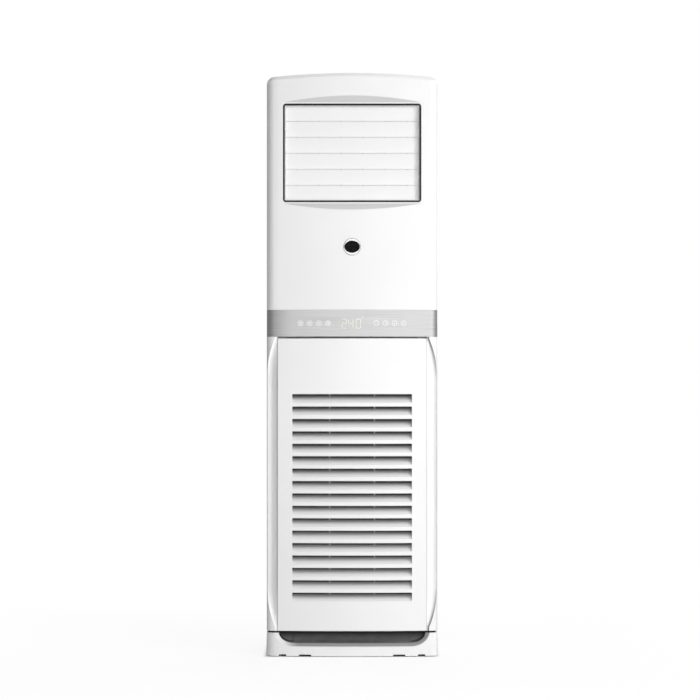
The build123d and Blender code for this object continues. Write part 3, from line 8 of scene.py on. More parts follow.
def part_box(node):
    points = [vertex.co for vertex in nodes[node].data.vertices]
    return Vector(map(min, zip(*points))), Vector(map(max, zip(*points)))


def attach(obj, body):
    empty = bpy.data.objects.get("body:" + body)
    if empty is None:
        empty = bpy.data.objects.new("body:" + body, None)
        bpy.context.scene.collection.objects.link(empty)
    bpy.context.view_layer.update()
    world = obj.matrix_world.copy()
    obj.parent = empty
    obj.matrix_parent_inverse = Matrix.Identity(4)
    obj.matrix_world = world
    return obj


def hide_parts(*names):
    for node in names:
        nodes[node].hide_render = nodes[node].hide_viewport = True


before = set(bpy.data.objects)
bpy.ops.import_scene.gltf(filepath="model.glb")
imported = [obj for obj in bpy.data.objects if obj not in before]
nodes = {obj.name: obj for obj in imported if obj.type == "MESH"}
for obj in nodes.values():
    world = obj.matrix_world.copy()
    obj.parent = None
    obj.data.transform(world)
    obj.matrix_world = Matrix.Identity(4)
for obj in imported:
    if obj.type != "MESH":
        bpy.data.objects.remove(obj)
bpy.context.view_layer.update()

# ---- Studio ------------------------------------------------------------------------------
# Plain pale studio.  The cabinet stands on a white floor that keeps its shadow, lit by one
# soft lamp high at the front right, weaker ones in front and behind, and an even surround.

photo_width = 2.186
camera_distance = 6.0
horizon = 0.80
picture_middle_z = 0.9585
picture_middle_x = -0.0066
front_face = -0.203

camera_data = bpy.data.cameras.new("camera")
camera_data.sensor_width = 36.0
camera_data.lens = camera_data.sensor_width * camera_distance / photo_width
camera_data.shift_y = (picture_middle_z - horizon) / photo_width
camera_data.clip_end = 60.0
camera = bpy.data.objects.new("camera", camera_data)
camera.location = (picture_middle_x, front_face - camera_distance, horizon)
camera.rotation_euler = (radians(90), 0, 0)
bpy.context.scene.collection.objects.link(camera)
bpy.context.scene.camera = camera
bpy.context.scene.view_settings.view_transform = "Standard"


def soft_lamp(name, place, target, width, height, watts):
    """Soft box at a place, turned towards a target."""
    data = bpy.data.lights.new(name, "AREA")
    data.shape = "RECTANGLE"
    data.size = width
    data.size_y = height
    data.energy = watts
    lamp = bpy.data.objects.new(name, data)
    lamp.location = place
    lamp.rotation_euler = (Vector(target) - Vector(place)).to_track_quat("-Z", "Y").to_euler()
    bpy.context.scene.collection.objects.link(lamp)


soft_lamp("lamp_right", (2.7, -2.5, 2.7), (0.0, 0.0, 0.95), 1.5, 1.8, 90)
soft_lamp("lamp_front", (0.6, -4.0, 0.6), (0.0, 0.0, 0.5), 1.8, 1.2, 47)
soft_lamp("lamp_back", (0.7, 3.6, 1.9), (0.0, 0.0, 0.95), 1.6, 1.8, 75)


def combine(tree, operation, *values):
    """Math node on sockets and plain numbers."""
    node = tree.nodes.new("ShaderNodeMath")
    node.operation = operation
    for i, value in enumerate(values):
        if isinstance(value, bpy.types.NodeSocket):
            tree.links.new(value, node.inputs[i])
        else:
            node.inputs[i].default_value = value
    return node.outputs[0]


def map_range(tree, source, start, end, low=0.0, high=1.0, curve="LINEAR"):
    """Carry a value from one range to another, held at both ends."""
    ranged = tree.nodes.new("ShaderNodeMapRange")
    ranged.interpolation_type = curve
    for name, value in zip(("From Min", "From Max", "To Min", "To Max"), (start, end, low, high)):
        ranged.inputs[name].default_value = value
    tree.links.new(source, ranged.inputs["Value"])
    return ranged.outputs["Result"]


def object_axes(tree):
    """X, Y and Z sockets in the object's own metres."""
    place = tree.nodes.new("ShaderNodeTexCoord")
    axes = tree.nodes.new("ShaderNodeSeparateXYZ")
    tree.links.new(place.outputs["Object"], axes.inputs[0])
    return axes.outputs


def seen_directly(tree):
    """1 where the camera, a reflection or glass looks at it, 0 where it only gives light."""
    path = tree.nodes.new("ShaderNodeLightPath")
    seen = combine(tree, "MAXIMUM", path.outputs["Is Camera Ray"], path.outputs["Is Glossy Ray"])
    return combine(tree, "MAXIMUM", seen, path.outputs["Is Transmission Ray"])


fill_strength = 0.27
picture_white = 1.0
world = bpy.data.worlds.new("surround")
world.use_nodes = True
bpy.context.scene.world = world
sky = world.node_tree
sky.nodes.clear()
sky_out = sky.nodes.new("ShaderNodeOutputWorld")
sky_mix = sky.nodes.new("ShaderNodeMixShader")
sky.links.new(seen_directly(sky), sky_mix.inputs["Fac"])
for i, strength in enumerate((fill_strength, picture_white)):
    white = sky.nodes.new("ShaderNodeBackground")
    white.inputs["Color"].default_value = (1, 1, 1, 1)
    white.inputs["Strength"].default_value = strength
    sky.links.new(white.outputs[0], sky_mix.inputs[1 + i])
sky.links.new(sky_mix.outputs[0], sky_out.inputs["Surface"])


def inside(material):
    """Node tree and surface shader of a material."""
    return material.node_tree, material.node_tree.nodes["Principled BSDF"]


def new_material(name):
    """Empty node material: returns it, its tree and its surface shader."""
    material = bpy.data.materials.new(name)
    material.use_nodes = True
    return material, *inside(material)


floor_half = 8.0
floor_signs = ((-1, -1), (1, -1), (1, 1), (-1, 1))
floor_corners = [(x * floor_half, y * floor_half, 0) for x, y in floor_signs]
floor_mesh = bpy.data.meshes.new("floor")
floor_mesh.from_pydata(floor_corners, [], [(0, 1, 2, 3)])
floor = bpy.data.objects.new("floor", floor_mesh)
bpy.context.scene.collection.objects.link(floor)
floor_paint, floor_tree, floor_shader = new_material("floor_paint")
floor_shader.inputs["Base Color"].default_value = (0.88, 0.88, 0.88, 1)
floor_shader.inputs["Roughness"].default_value = 0.85
# The glow starts just outside the foot and is full far away, so the shadow beside it stays.
foot_half = (0.259, 0.192)
glow_edge = 0.025
glow_far = 1.2
glow_near_share = 0.90
floor_axes = object_axes(floor_tree)
beyond_sides = []
for axis, half in enumerate(foot_half):
    side = combine(floor_tree, "ABSOLUTE", floor_axes[axis])
    beyond_sides.append(combine(floor_tree, "SUBTRACT", side, half))
beyond = combine(floor_tree, "MAXIMUM", *beyond_sides)
near = map_range(floor_tree, beyond, 0.0, glow_edge, curve="SMOOTHSTEP")
far = map_range(floor_tree, beyond, 0.0, glow_far, glow_near_share)
floor_white = combine(floor_tree, "MULTIPLY", near, far)
floor_share = combine(floor_tree, "MULTIPLY", seen_directly(floor_tree), floor_white)
floor_glow = floor_tree.nodes.new("ShaderNodeEmission")
floor_mix = floor_tree.nodes.new("ShaderNodeMixShader")
floor_tree.links.new(floor_share, floor_mix.inputs["Fac"])
floor_tree.links.new(floor_shader.outputs[0], floor_mix.inputs[1])
floor_tree.links.new(floor_glow.outputs[0], floor_mix.inputs[2])
floor_tree.links.new(floor_mix.outputs[0], floor_tree.nodes["Material Output"].inputs["Surface"])
floor.data.materials.append(floor_paint)

# ---- Chassis and levelling feet ----------------------------------------------------------
# Welded box of zinc-coated steel that carries everything, on four screwed feet with rubber
# pads.  It is coloured near black as painted shade, so the gap above the skirt reads dark;
# elsewhere the zinc shows its patches of crystals.


def dress(material, slot, *names):
    """Give CAD nodes a material; the finish slot is not used."""
    for name in names:
        piece = nodes[name]
        piece.data.materials.clear()
        piece.data.materials.append(material)


def noise(tree, scale, detail=3.0, stretch=None):
    """Noise in the object's own metres, stretched along the axes if asked."""
    place = tree.nodes.new("ShaderNodeTexCoord")
    texture = tree.nodes.new("ShaderNodeTexNoise")
    texture.inputs["Scale"].default_value = scale
    texture.inputs["Detail"].default_value = detail
    if stretch is None:
        tree.links.new(place.outputs["Object"], texture.inputs["Vector"])
    else:
        mapping = tree.nodes.new("ShaderNodeMapping")
        mapping.inputs["Scale"].default_value = stretch
        tree.links.new(place.outputs["Object"], mapping.inputs["Vector"])
        tree.links.new(mapping.outputs["Vector"], texture.inputs["Vector"])
    return texture.outputs["Fac"]


def tone(tree, source, dark, light):
    """Colour that runs between two tones with a texture."""
    ramp = tree.nodes.new("ShaderNodeValToRGB")
    for element, colour, position in zip(ramp.color_ramp.elements, (dark, light), (0.3, 0.7)):
        element.color = (*colour, 1)
        element.position = position
    tree.links.new(source, ramp.inputs["Fac"])
    return ramp.outputs["Color"]


def colour_by(tree, shader, source, dark, light):
    """Base colour that runs between two tones with a texture."""
    tree.links.new(tone(tree, source, dark, light), shader.inputs["Base Color"])


def gloss_by(tree, shader, source, low, high):
    """Roughness that runs between two values with a texture."""
    tree.links.new(map_range(tree, source, 0.0, 1.0, low, high), shader.inputs["Roughness"])


def relief(tree, shader, source, distance, strength=1.0):
    """Bump from a texture, in metres."""
    bump = tree.nodes.new("ShaderNodeBump")
    bump.inputs["Distance"].default_value = distance
    bump.inputs["Strength"].default_value = strength
    tree.links.new(source, bump.inputs["Height"])
    tree.links.new(bump.outputs["Normal"], shader.inputs["Normal"])


def galvanised(name, dark, light):
    """Zinc-coated sheet with a crystal pattern."""
    material, tree, shader = new_material(name)
    place = tree.nodes.new("ShaderNodeTexCoord")
    crystals = tree.nodes.new("ShaderNodeTexVoronoi")
    crystals.inputs["Scale"].default_value = 150.0
    tree.links.new(place.outputs["Object"], crystals.inputs["Vector"])
    patch = tree.nodes.new("ShaderNodeSeparateColor")
    tree.links.new(crystals.outputs["Color"], patch.inputs[0])
    colour_by(tree, shader, patch.outputs[0], dark, light)
    gloss_by(tree, shader, patch.outputs[1], 0.32, 0.5)
    shader.inputs["Metallic"].default_value = 0.85
    relief(tree, shader, noise(tree, 400.0), 0.00004)
    return material


def moulding(name, dark, light, roughness, peel=0.00003):
    """Moulded plastic: slight flow tones, a fine orange peel and uneven gloss."""
    material, tree, shader = new_material(name)
    shader.inputs["Specular IOR Level"].default_value = 0.35
    colour_by(tree, shader, noise(tree, 2.5, 2.0), dark, light)
    gloss_by(tree, shader, noise(tree, 35.0, 4.0), roughness - 0.05, roughness + 0.06)
    relief(tree, shader, noise(tree, 1100.0, 2.0), peel)
    return material


zinc = galvanised("zinc_sheet", (0.44, 0.45, 0.46), (0.53, 0.54, 0.55))
# Near-black zinc for the chassis: painted shade for the gap above the skirt.
shade_black = galvanised("shade_black_zinc", (0.004,) * 3, (0.008,) * 3)
shade_black_shader = inside(shade_black)[1]
shade_black_shader.inputs["Metallic"].default_value = 0.0
shade_black_shader.inputs["Specular IOR Level"].default_value = 0.1
dress(shade_black, "zinc_sheet", "base_chassis")

rubber = moulding("black_rubber", (0.012,) * 3, (0.022,) * 3, 0.72, 0.00008)
dress(rubber, "black_rubber", "levelling_feet")

# ---- Foot skirt and toe recess -----------------------------------------------------------
# White moulding clipped round the chassis, with a wide recess for the toes whose lining is
# a dark matt moulding.  The lining is painted near black at the top as shade under the door
# and lightens to mid grey at its lower edge as painted light.

case_white = ((0.80,) * 3, (0.84,) * 3)
white_plastic = moulding("white_moulding", *case_white, 0.36)

bow_curve = 0.208  # rise of the bowed face, in metres, at a metre from the middle
bevel_start = 0.0012
edge_x = 0.268
right_edge_shade = (0.006, 0.62)
white_edge_shade = (0.005, 0.55)
skirt_edge_shade = (0.006, 0.55)
left_shade = 0.74
skirt_edge_x = 0.270
shade_from = -0.228
shade_to = -0.248


def along_axis(tree, axis, start, end):
    """0 to 1 between two places on an axis of the object; 0, 1 and 2 are X, Y and Z."""
    return map_range(tree, object_axes(tree)[axis], start, end)


def blend(tree, share, first, second):
    """Mix two colours by a share; either may be a socket or a plain colour."""
    mixed = tree.nodes.new("ShaderNodeMix")
    mixed.data_type = "RGBA"
    tree.links.new(share, mixed.inputs["Factor"])
    for name, value in (("A", first), ("B", second)):
        socket = next(s for s in mixed.inputs if s.name == name and s.type == "RGBA")
        if isinstance(value, bpy.types.NodeSocket):
            tree.links.new(value, socket)
        else:
            socket.default_value = (*value, 1)
    return next(s for s in mixed.outputs if s.type == "RGBA")


def behind_bow(tree):
    """Depth in metres behind the bowed front face, as a socket."""
    x, y, _ = object_axes(tree)
    rise = combine(tree, "MULTIPLY", combine(tree, "MULTIPLY", x, x), bow_curve)
    return combine(tree, "SUBTRACT", y, combine(tree, "ADD", rise, front_face))


def lay_over(tree, shader, share, colour):
    """Lay a second colour over the base colour by a share."""
    base = shader.inputs["Base Color"].links[0].from_socket
    tree.links.new(blend(tree, share, base, colour), shader.inputs["Base Color"])


def shade_edges(tree, shader, end, left_edge_shade):
    """Paint shade on the outermost millimetres at both sides; each edge shade is its width and its
    tone.
    """
    for side, (width, shade_tone) in ((1, right_edge_shade), (-1, left_edge_shade)):
        lay_over(tree, shader, along_axis(tree, 0, side * (end - width), side * end), (shade_tone,) * 3)


def shade_left(tree, shader):
    """Lay the soft shade of the bow's left end over a piece."""
    lay_over(tree, shader, along_axis(tree, 0, shade_from, shade_to), (left_shade,) * 3)


# The white moulding carries painted shade at the bow's left end and along its outermost
# edges at both sides.
white_tree, white_shader = inside(white_plastic)
shade_left(white_tree, white_shader)
shade_edges(white_tree, white_shader, edge_x, white_edge_shade)

# The skirt is the same white with the same painted shade, and the bevel round the recess
# is painted grey as shade, most of all below and at the right.
bevel_shade_left = (-0.215, -0.170)
bevel_shade_right = (0.2435, 0.2430)
skirt_white = moulding("skirt_moulding", *case_white, 0.36)
skirt_tree, skirt_shader = inside(skirt_white)
shade_left(skirt_tree, skirt_shader)
shade_edges(skirt_tree, skirt_shader, skirt_edge_x, skirt_edge_shade)
bevel_shade = combine(skirt_tree, "GREATER_THAN", behind_bow(skirt_tree), bevel_start)
for limits in (bevel_shade_left, bevel_shade_right):
    bevel_shade = combine(skirt_tree, "MULTIPLY", bevel_shade, along_axis(skirt_tree, 0, *limits))
lay_over(skirt_tree, skirt_shader, bevel_shade, (0.33,) * 3)
dress(skirt_white, "white_moulding", "base_skirt")

liner, liner_tree, liner_shader = new_material("dark_liner")
liner_top = 0.076
liner_foot = 0.040
dust = noise(liner_tree, 28.0, 6.0)
liner_shade_top = tone(liner_tree, dust, (0.004,) * 3, (0.008,) * 3)
liner_lit_foot = tone(liner_tree, dust, (0.34,) * 3, (0.44,) * 3)
# Painted shade at the lining's top, painted light towards its lower edge.
liner_height = along_axis(liner_tree, 2, liner_top, liner_foot)
liner_light_share = combine(liner_tree, "POWER", liner_height, 1.5)
liner_colour = blend(liner_tree, liner_light_share, liner_shade_top, liner_lit_foot)
liner_tree.links.new(liner_colour, liner_shader.inputs["Base Color"])
liner_shader.inputs["Specular IOR Level"].default_value = 0.05
gloss_by(liner_tree, liner_shader, dust, 0.70, 0.90)
relief(liner_tree, liner_shader, noise(liner_tree, 700.0), 0.00008)
dress(liner, "dark_liner", "toe_recess_liner")

# ---- Sheet-metal cabinet -----------------------------------------------------------------
# Folded steel sides and a flat back sheet, powder coated white.  The coat shows a fine
# even texture, a little coarser than the mouldings beside it.

powder, powder_tree, powder_shader = new_material("white_powder_coat")
colour_by(powder_tree, powder_shader, noise(powder_tree, 6.0, 2.0), (0.76,) * 3, (0.80,) * 3)
gloss_by(powder_tree, powder_shader, noise(powder_tree, 60.0), 0.42, 0.56)
relief(powder_tree, powder_shader, noise(powder_tree, 850.0, 3.0), 0.0001)
dress(powder, "white_steel", "left_side_panel", "right_side_panel", "rear_panel")

# ---- Casing screws -----------------------------------------------------------------------
# Zinc-plated pan-head screws with a cross recess, turned into the rear flanges in two
# upright rows.  One screw is made as a lathe profile and set out by a tree of nodes.

screw_head = 0.004
screw_rise = 0.0016
screw_low, screw_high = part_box("casing_screws")
screw_count = 6
screw_first_z = screw_low.z + screw_head
screw_pitch_z = (screw_high.z - screw_low.z - 2 * screw_head) / (screw_count - 1)
screw_pitch_x = screw_high.x - screw_low.x - 2 * screw_head
screw_seat = screw_high.y - screw_rise


def plated(name, colour):
    """Bright zinc plating with faint turning marks."""
    material, tree, shader = new_material(name)
    marks = noise(tree, 500.0, 2.0)
    colour_by(tree, shader, marks, colour, [c * 1.15 for c in colour])
    gloss_by(tree, shader, marks, 0.25, 0.42)
    shader.inputs["Metallic"].default_value = 0.9
    relief(tree, shader, marks, 0.00003)
    return material


def lathe(profile, segments):
    """Closed turned body round +Y from (radius, height) points that start and end on the axis."""
    body = bmesh.new()
    rings = []
    for radius, height in profile:
        if radius == 0:
            rings.append([body.verts.new((0, height, 0))])
            continue
        turn = [2 * pi * i / segments for i in range(segments)]
        rings.append([body.verts.new((radius * cos(a), height, radius * sin(a))) for a in turn])
    for lower, upper in zip(rings, rings[1:]):
        for i in range(segments):
            j = (i + 1) % segments
            corners = [lower[i % len(lower)], lower[j % len(lower)]]
            corners += [upper[j % len(upper)], upper[i % len(upper)]]
            face = list(dict.fromkeys(corners))
            if len(face) > 2:
                body.faces.new(face)
    return body


def as_object(name, body):
    """Object from a closed working mesh, its faces turned outwards."""
    bmesh.ops.recalc_face_normals(body, faces=body.faces)
    mesh = bpy.data.meshes.new(name)
    body.to_mesh(mesh)
    body.free()
    return bpy.data.objects.new(name, mesh)


def cross_screw():
    """Pan head with a cross-shaped recess pressed into it, facing +Y from its seat."""
    profile = [(0, 0), (screw_head, 0), (screw_head, screw_rise * 0.45)]
    profile += [(screw_head * 0.93, screw_rise * 0.75), (screw_head * 0.78, screw_rise * 0.93)]
    profile += [(screw_head * 0.58, screw_rise), (screw_head * 0.3, screw_rise), (0, screw_rise)]
    body = lathe(profile, 32)
    for vertex in body.verts:
        x, y, z = vertex.co
        on_arm = min(abs(x), abs(z)) < screw_head * 0.12
        if sqrt(x**2 + z**2) < screw_head * 0.5 and y > screw_rise * 0.9 and on_arm:
            vertex.co.y -= screw_rise * 0.55
    return as_object("cross_screw", body)


def array_tree():
    """Node tree that repeats a template in two directions and keeps it as real faces."""
    tree = bpy.data.node_groups.new("set_out", "GeometryNodeTree")
    face = tree.interface
    face.new_socket("Geometry", in_out="OUTPUT", socket_type="NodeSocketGeometry")
    for name, kind in (
        ("Geometry", "Geometry"),
        ("First Count", "Int"),
        ("First Step", "Vector"),
        ("Second Count", "Int"),
        ("Second Step", "Vector"),
        ("Start", "Vector"),
        ("Material", "Material"),
    ):
        face.new_socket(name, in_out="INPUT", socket_type=f"NodeSocket{kind}")
    given = tree.nodes.new("NodeGroupInput")
    result = tree.nodes.new("NodeGroupOutput")
    first = tree.nodes.new("GeometryNodeMeshLine")
    second = tree.nodes.new("GeometryNodeMeshLine")
    rows = tree.nodes.new("GeometryNodeInstanceOnPoints")
    grid = tree.nodes.new("GeometryNodeInstanceOnPoints")
    real = tree.nodes.new("GeometryNodeRealizeInstances")
    paint = tree.nodes.new("GeometryNodeSetMaterial")
    link = tree.links.new
    link(given.outputs["First Count"], first.inputs["Count"])
    link(given.outputs["First Step"], first.inputs["Offset"])
    link(given.outputs["Second Count"], second.inputs["Count"])
    link(given.outputs["Second Step"], second.inputs["Offset"])
    link(given.outputs["Start"], second.inputs["Start Location"])
    link(first.outputs["Mesh"], rows.inputs["Points"])
    link(given.outputs["Geometry"], rows.inputs["Instance"])
    link(second.outputs["Mesh"], grid.inputs["Points"])
    link(rows.outputs["Instances"], grid.inputs["Instance"])
    link(grid.outputs["Instances"], real.inputs["Geometry"])
    link(real.outputs["Geometry"], paint.inputs["Geometry"])
    link(given.outputs["Material"], paint.inputs["Material"])
    link(paint.outputs["Geometry"], result.inputs["Geometry"])
    return tree


set_out_tree = array_tree()


def set_out(name, template, material, start, first, second=(1, (0, 0, 0))):
    """Repeat a template object as one plain mesh; first and second are (count, step)."""
    bpy.context.scene.collection.objects.link(template)
    modifier = template.modifiers.new("set_out", "NODES")
    modifier.node_group = set_out_tree
    values = {
        "First Count": first[0],
        "First Step": first[1],
        "Second Count": second[0],
        "Second Step": second[1],
        "Start": start,
        "Material": material,
    }
    for item in set_out_tree.interface.items_tree:
        if item.in_out == "INPUT" and item.name in values:
            modifier[item.identifier] = values[item.name]
    graph = bpy.context.evaluated_depsgraph_get()
    mesh = bpy.data.meshes.new_from_object(template.evaluated_get(graph))
    template.modifiers.remove(modifier)
    bpy.data.objects.remove(template)
    piece = bpy.data.objects.new(name, mesh)
    bpy.context.scene.collection.objects.link(piece)
    return piece


screw_plating = plated("screw_zinc", (0.62, 0.62, 0.60))
screw_start = (screw_low.x + screw_head, screw_seat, screw_first_z)
screws = set_out(
    "rear_screws",
    cross_screw(),
    screw_plating,
    screw_start,
    (screw_count, (0, 0, screw_pitch_z)),
    (2, (screw_pitch_x, 0, 0)),
)
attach(screws, "cabinet")
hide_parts("casing_screws")

# ---- Top cover ---------------------------------------------------------------------------
# White moulding over the top, its arch the same as the front's.  It pushes down on the
# side sheets and shares their line at the back.

dress(white_plastic, "white_moulding", "top_cover")

# ---- Upper front panel, inlays and badge -------------------------------------------------
# One white moulding from the crown down to the band.  The grey inlays are glued on the
# sloping facets above and below the outlet.  The badge under it is bare: a bright rim round
# a sunk oval field in gloss black.

dress(white_plastic, "white_moulding", "upper_front_panel")
inlay = moulding("light_grey_inlay", (0.57,) * 3, (0.61,) * 3, 0.34)
dress(inlay, "light_grey_inlay", "outlet_accent_trims")
badge_field = (0.0243, 0.0191)
badge_edge_radius = 0.0256
badge, badge_tree, badge_shader = new_material("dark_badge")
badge_film = noise(badge_tree, 60.0, 2.0)
badge_dark = tone(badge_tree, badge_film, (0.002,) * 3, (0.004,) * 3)
badge_light = tone(badge_tree, badge_film, (0.58, 0.58, 0.59), (0.66, 0.66, 0.67))
badge_low, badge_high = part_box("blank_badge")
badge_x, _, world_z = object_axes(badge_tree)
badge_z = combine(badge_tree, "SUBTRACT", world_z, (badge_low.z + badge_high.z) / 2)


def outside_oval(tree, x, z, half_width, half_height):
    """1 outside an oval round the origin, 0 in it."""
    across = combine(tree, "DIVIDE", x, half_width)
    upright = combine(tree, "DIVIDE", z, half_height)
    square = combine(tree, "MULTIPLY", across, across)
    reach = combine(tree, "MULTIPLY_ADD", upright, upright, square)
    return combine(tree, "GREATER_THAN", reach, 1.0)


badge_rim = outside_oval(badge_tree, badge_x, badge_z, *badge_field)
badge_edge_shade = outside_oval(badge_tree, badge_x, badge_z, badge_edge_radius, badge_edge_radius)
badge_colour = blend(badge_tree, badge_rim, badge_dark, badge_light)
badge_tree.links.new(badge_colour, badge_shader.inputs["Base Color"])
# The badge's outermost edge, beyond its rim, is painted darker: painted shade.
lay_over(badge_tree, badge_shader, badge_edge_shade, (0.20,) * 3)
gloss_by(badge_tree, badge_shader, badge_film, 0.22, 0.32)
badge_metal = combine(badge_tree, "MULTIPLY", badge_rim, 0.6)
badge_tree.links.new(badge_metal, badge_shader.inputs["Metallic"])
badge_shader.inputs["Specular IOR Level"].default_value = 0.06
dress(badge, "dark_badge", "blank_badge")

# ---- Outlet ------------------------------------------------------------------------------
# A white collar in a black rubber seal carries six pivoted slats; behind them stand six
# dark upright vanes in a moulded duct.  Links tie each set together, outside the air.

dress(rubber, "black_rubber", "outlet_gasket")
collar_white = moulding("collar_moulding", *case_white, 0.36)
collar_tree, collar_shader = inside(collar_white)
collar_low, collar_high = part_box("outlet_frame")
collar_line = 0.0016
collar_soft = 0.6 * collar_line
# The collar's outermost line is painted black all round where it meets the seal: painted
# shade that widens the dark gap.
border = []
for axis in (0, 2):
    low = collar_low[axis] + collar_line
    high = collar_high[axis] - collar_line
    border.append(along_axis(collar_tree, axis, low, low - collar_soft))
    border.append(along_axis(collar_tree, axis, high - collar_soft, high))
sides = combine(collar_tree, "MAXIMUM", *border[:2])
ends = combine(collar_tree, "MAXIMUM", *border[2:])
lay_over(collar_tree, collar_shader, combine(collar_tree, "MAXIMUM", sides, ends), (0.008,) * 3)
dress(collar_white, "white_moulding", "outlet_frame")
slat_plastic = moulding("slat_white", *case_white, 0.34)
dress(slat_plastic, "slat_white", *[f"slat_{i}" for i in range(1, 7)])
inner_plastic = moulding("inner_moulding", (0.56, 0.56, 0.55), (0.64, 0.64, 0.63), 0.5, 0.00006)
dress(inner_plastic, "inner_moulding", "slat_link_rod", "air_duct")
dark_tones = ((0.035, 0.036, 0.038), (0.055, 0.056, 0.06))
dark_plastic = moulding("dark_moulding", *dark_tones, 0.48, 0.00006)
dress(dark_plastic, "dark_moulding", "slat_motor", "vane_motor", "vane_link_rod")
dress(dark_plastic, "dark_moulding", *[f"vane_{i}" for i in range(1, 7)])

# ---- Control band ------------------------------------------------------------------------
# Aluminium strip, brushed along its length and bent round both front corners.  Eight touch
# keys are printed on it, and a segment display shines through the middle.

brushed, brushed_tree, brushed_shader = new_material("brushed_band")
streaks = noise(brushed_tree, 1.0, 5.0, (5.0, 5.0, 1400.0))
brushed_flat = tone(brushed_tree, streaks, (0.38,) * 3, (0.62,) * 3)
brushed_bend = tone(brushed_tree, streaks, (0.18,) * 3, (0.29,) * 3)
# It looks darker where it bends away from the light, sooner on the left.
bend_right_x = (0.250, 0.262)
bend_left_x = (-0.185, -0.256)
bend_right = along_axis(brushed_tree, 0, *bend_right_x)
bend_left = combine(brushed_tree, "POWER", along_axis(brushed_tree, 0, *bend_left_x), 1.5)
bend_share = combine(brushed_tree, "MAXIMUM", bend_right, bend_left)
brushed_colour = blend(brushed_tree, bend_share, brushed_flat, brushed_bend)
brushed_tree.links.new(brushed_colour, brushed_shader.inputs["Base Color"])
gloss_by(brushed_tree, brushed_shader, streaks, 0.46, 0.60)
brushed_shader.inputs["Metallic"].default_value = 0.35
brushed_shader.inputs["Specular IOR Level"].default_value = 0.2
relief(brushed_tree, brushed_shader, streaks, 0.00004)
dress(brushed, "brushed_band", "control_band")

band_low, band_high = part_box("control_band")
bow_depth = 0.015
bow_half = band_high.x
bow_radius = (bow_half**2 + bow_depth**2) / (2 * bow_depth)


def bow_y(x, proud=0.0):
    """Depth of the bowed front at x, brought forward by a hair."""
    return front_face + bow_radius - sqrt(bow_radius**2 - x**2) - proud


def prism(body, first, second):
    """Add a closed prism between two outlines of equal length to a working mesh."""
    front = [body.verts.new(point) for point in first]
    back = [body.verts.new(point) for point in second]
    body.faces.new(front)
    body.faces.new(back[::-1])
    for i in range(len(front)):
        j = (i + 1) % len(front)
        body.faces.new((front[i], back[i], back[j], front[j]))


def printed(name, outlines, material, thickness, proud=0.00005):
    """Thin closed film that follows the bow; outlines are front-view polygons in metres."""
    film = bmesh.new()
    for outline in outlines:
        front, back = (
            [(x, bow_y(x, lift), z) for x, z in outline] for lift in (proud + thickness, proud)
        )
        prism(film, front, back)
    piece = as_object(name, film)
    bpy.context.scene.collection.objects.link(piece)
    piece.data.materials.append(material)
    return piece


def ring_pieces(x, z, inner, outer, start=0.0, sweep=2 * pi, steps=40):
    """A ring, or a part of one, cut into small four-sided pieces."""
    quads = []
    for i in range(steps):
        a = start + sweep * i / steps
        b = start + sweep * (i + 1) / steps
        corners = ((outer, a), (outer, b), (inner, b), (inner, a))
        quads.append([(x + radius * cos(t), z + radius * sin(t)) for radius, t in corners])
    return quads


def bar(x, z, length, width, angle):
    """Front-view rectangle centred on a point and turned by an angle."""
    along = Vector((cos(angle), sin(angle))) * length / 2
    across = Vector((-sin(angle), cos(angle))) * width / 2
    middle = Vector((x, z))
    corners = (along + across, across - along, -along - across, along - across)
    return [tuple(middle + corner) for corner in corners]


key_radius = 0.0085
key_line = 0.0014
key_first = 0.0755
key_pitch = 0.0286
key_z = (band_low.z + band_high.z) / 2
mark = 0.0040


def key_mark(kind, x, z):
    """Plain generic sign inside a key's ring."""
    if kind == "power":
        arc = ring_pieces(x, z, mark - key_line, mark, radians(120), radians(300), 24)
        return arc + [bar(x, z + mark * 0.7, mark, key_line, pi / 2)]
    if kind == "plus":
        return [bar(x, z, 1.7 * mark, key_line, 0), bar(x, z, 1.7 * mark, key_line, pi / 2)]
    if kind == "minus":
        return [bar(x, z, 1.7 * mark, key_line, 0)]
    if kind == "star":
        return [bar(x, z, 1.9 * mark, key_line, pi * i / 3) for i in range(3)]
    if kind == "clock":
        rim = ring_pieces(x, z, mark - key_line, mark, 0, 2 * pi, 24)
        hands = [bar(x, z + mark * 0.3, mark * 0.6, key_line, pi / 2)]
        return rim + hands + [bar(x + mark * 0.25, z, mark * 0.5, key_line, 0)]
    if kind == "waves":
        return [bar(x, z + mark * 0.6 * i, 1.6 * mark, key_line, 0.18) for i in (-1, 0, 1)]
    if kind == "fan":
        reach = mark * 0.45
        turns = [pi / 2 + 2 * pi * i / 3 for i in range(3)]
        spots = [(x + reach * cos(a), z + reach * sin(a), a) for a in turns]
        return [bar(u, v, 2 * reach, 2 * key_line, a) for u, v, a in spots]
    return ring_pieces(x, z, 0.0001, mark * 0.55, 0, 2 * pi, 16)


key_kinds = ("waves", "star", "fan", "clock", "minus", "plus", "dot", "power")
key_places = [-key_first - key_pitch * i for i in (3, 2, 1, 0)]
key_places += [key_first + key_pitch * i for i in range(4)]
key_outlines = []
key_fields = []
rim_turns = [2 * pi * i / 40 for i in range(40)]
for key_kind, key_x in zip(key_kinds, key_places):
    key_outlines += ring_pieces(key_x, key_z, key_radius - key_line, key_radius)
    key_outlines += key_mark(key_kind, key_x, key_z)
    rim = [(key_x + key_radius * cos(a), key_z + key_radius * sin(a)) for a in rim_turns]
    key_fields.append(rim)

field_ink, field_tree, field_shader = new_material("key_field_ink")
colour_by(field_tree, field_shader, noise(field_tree, 900.0), (0.50,) * 3, (0.56,) * 3)
field_shader.inputs["Roughness"].default_value = 0.5
fields = printed("key_fields", key_fields, field_ink, 0.00004, 0.00002)
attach(fields, "cabinet")


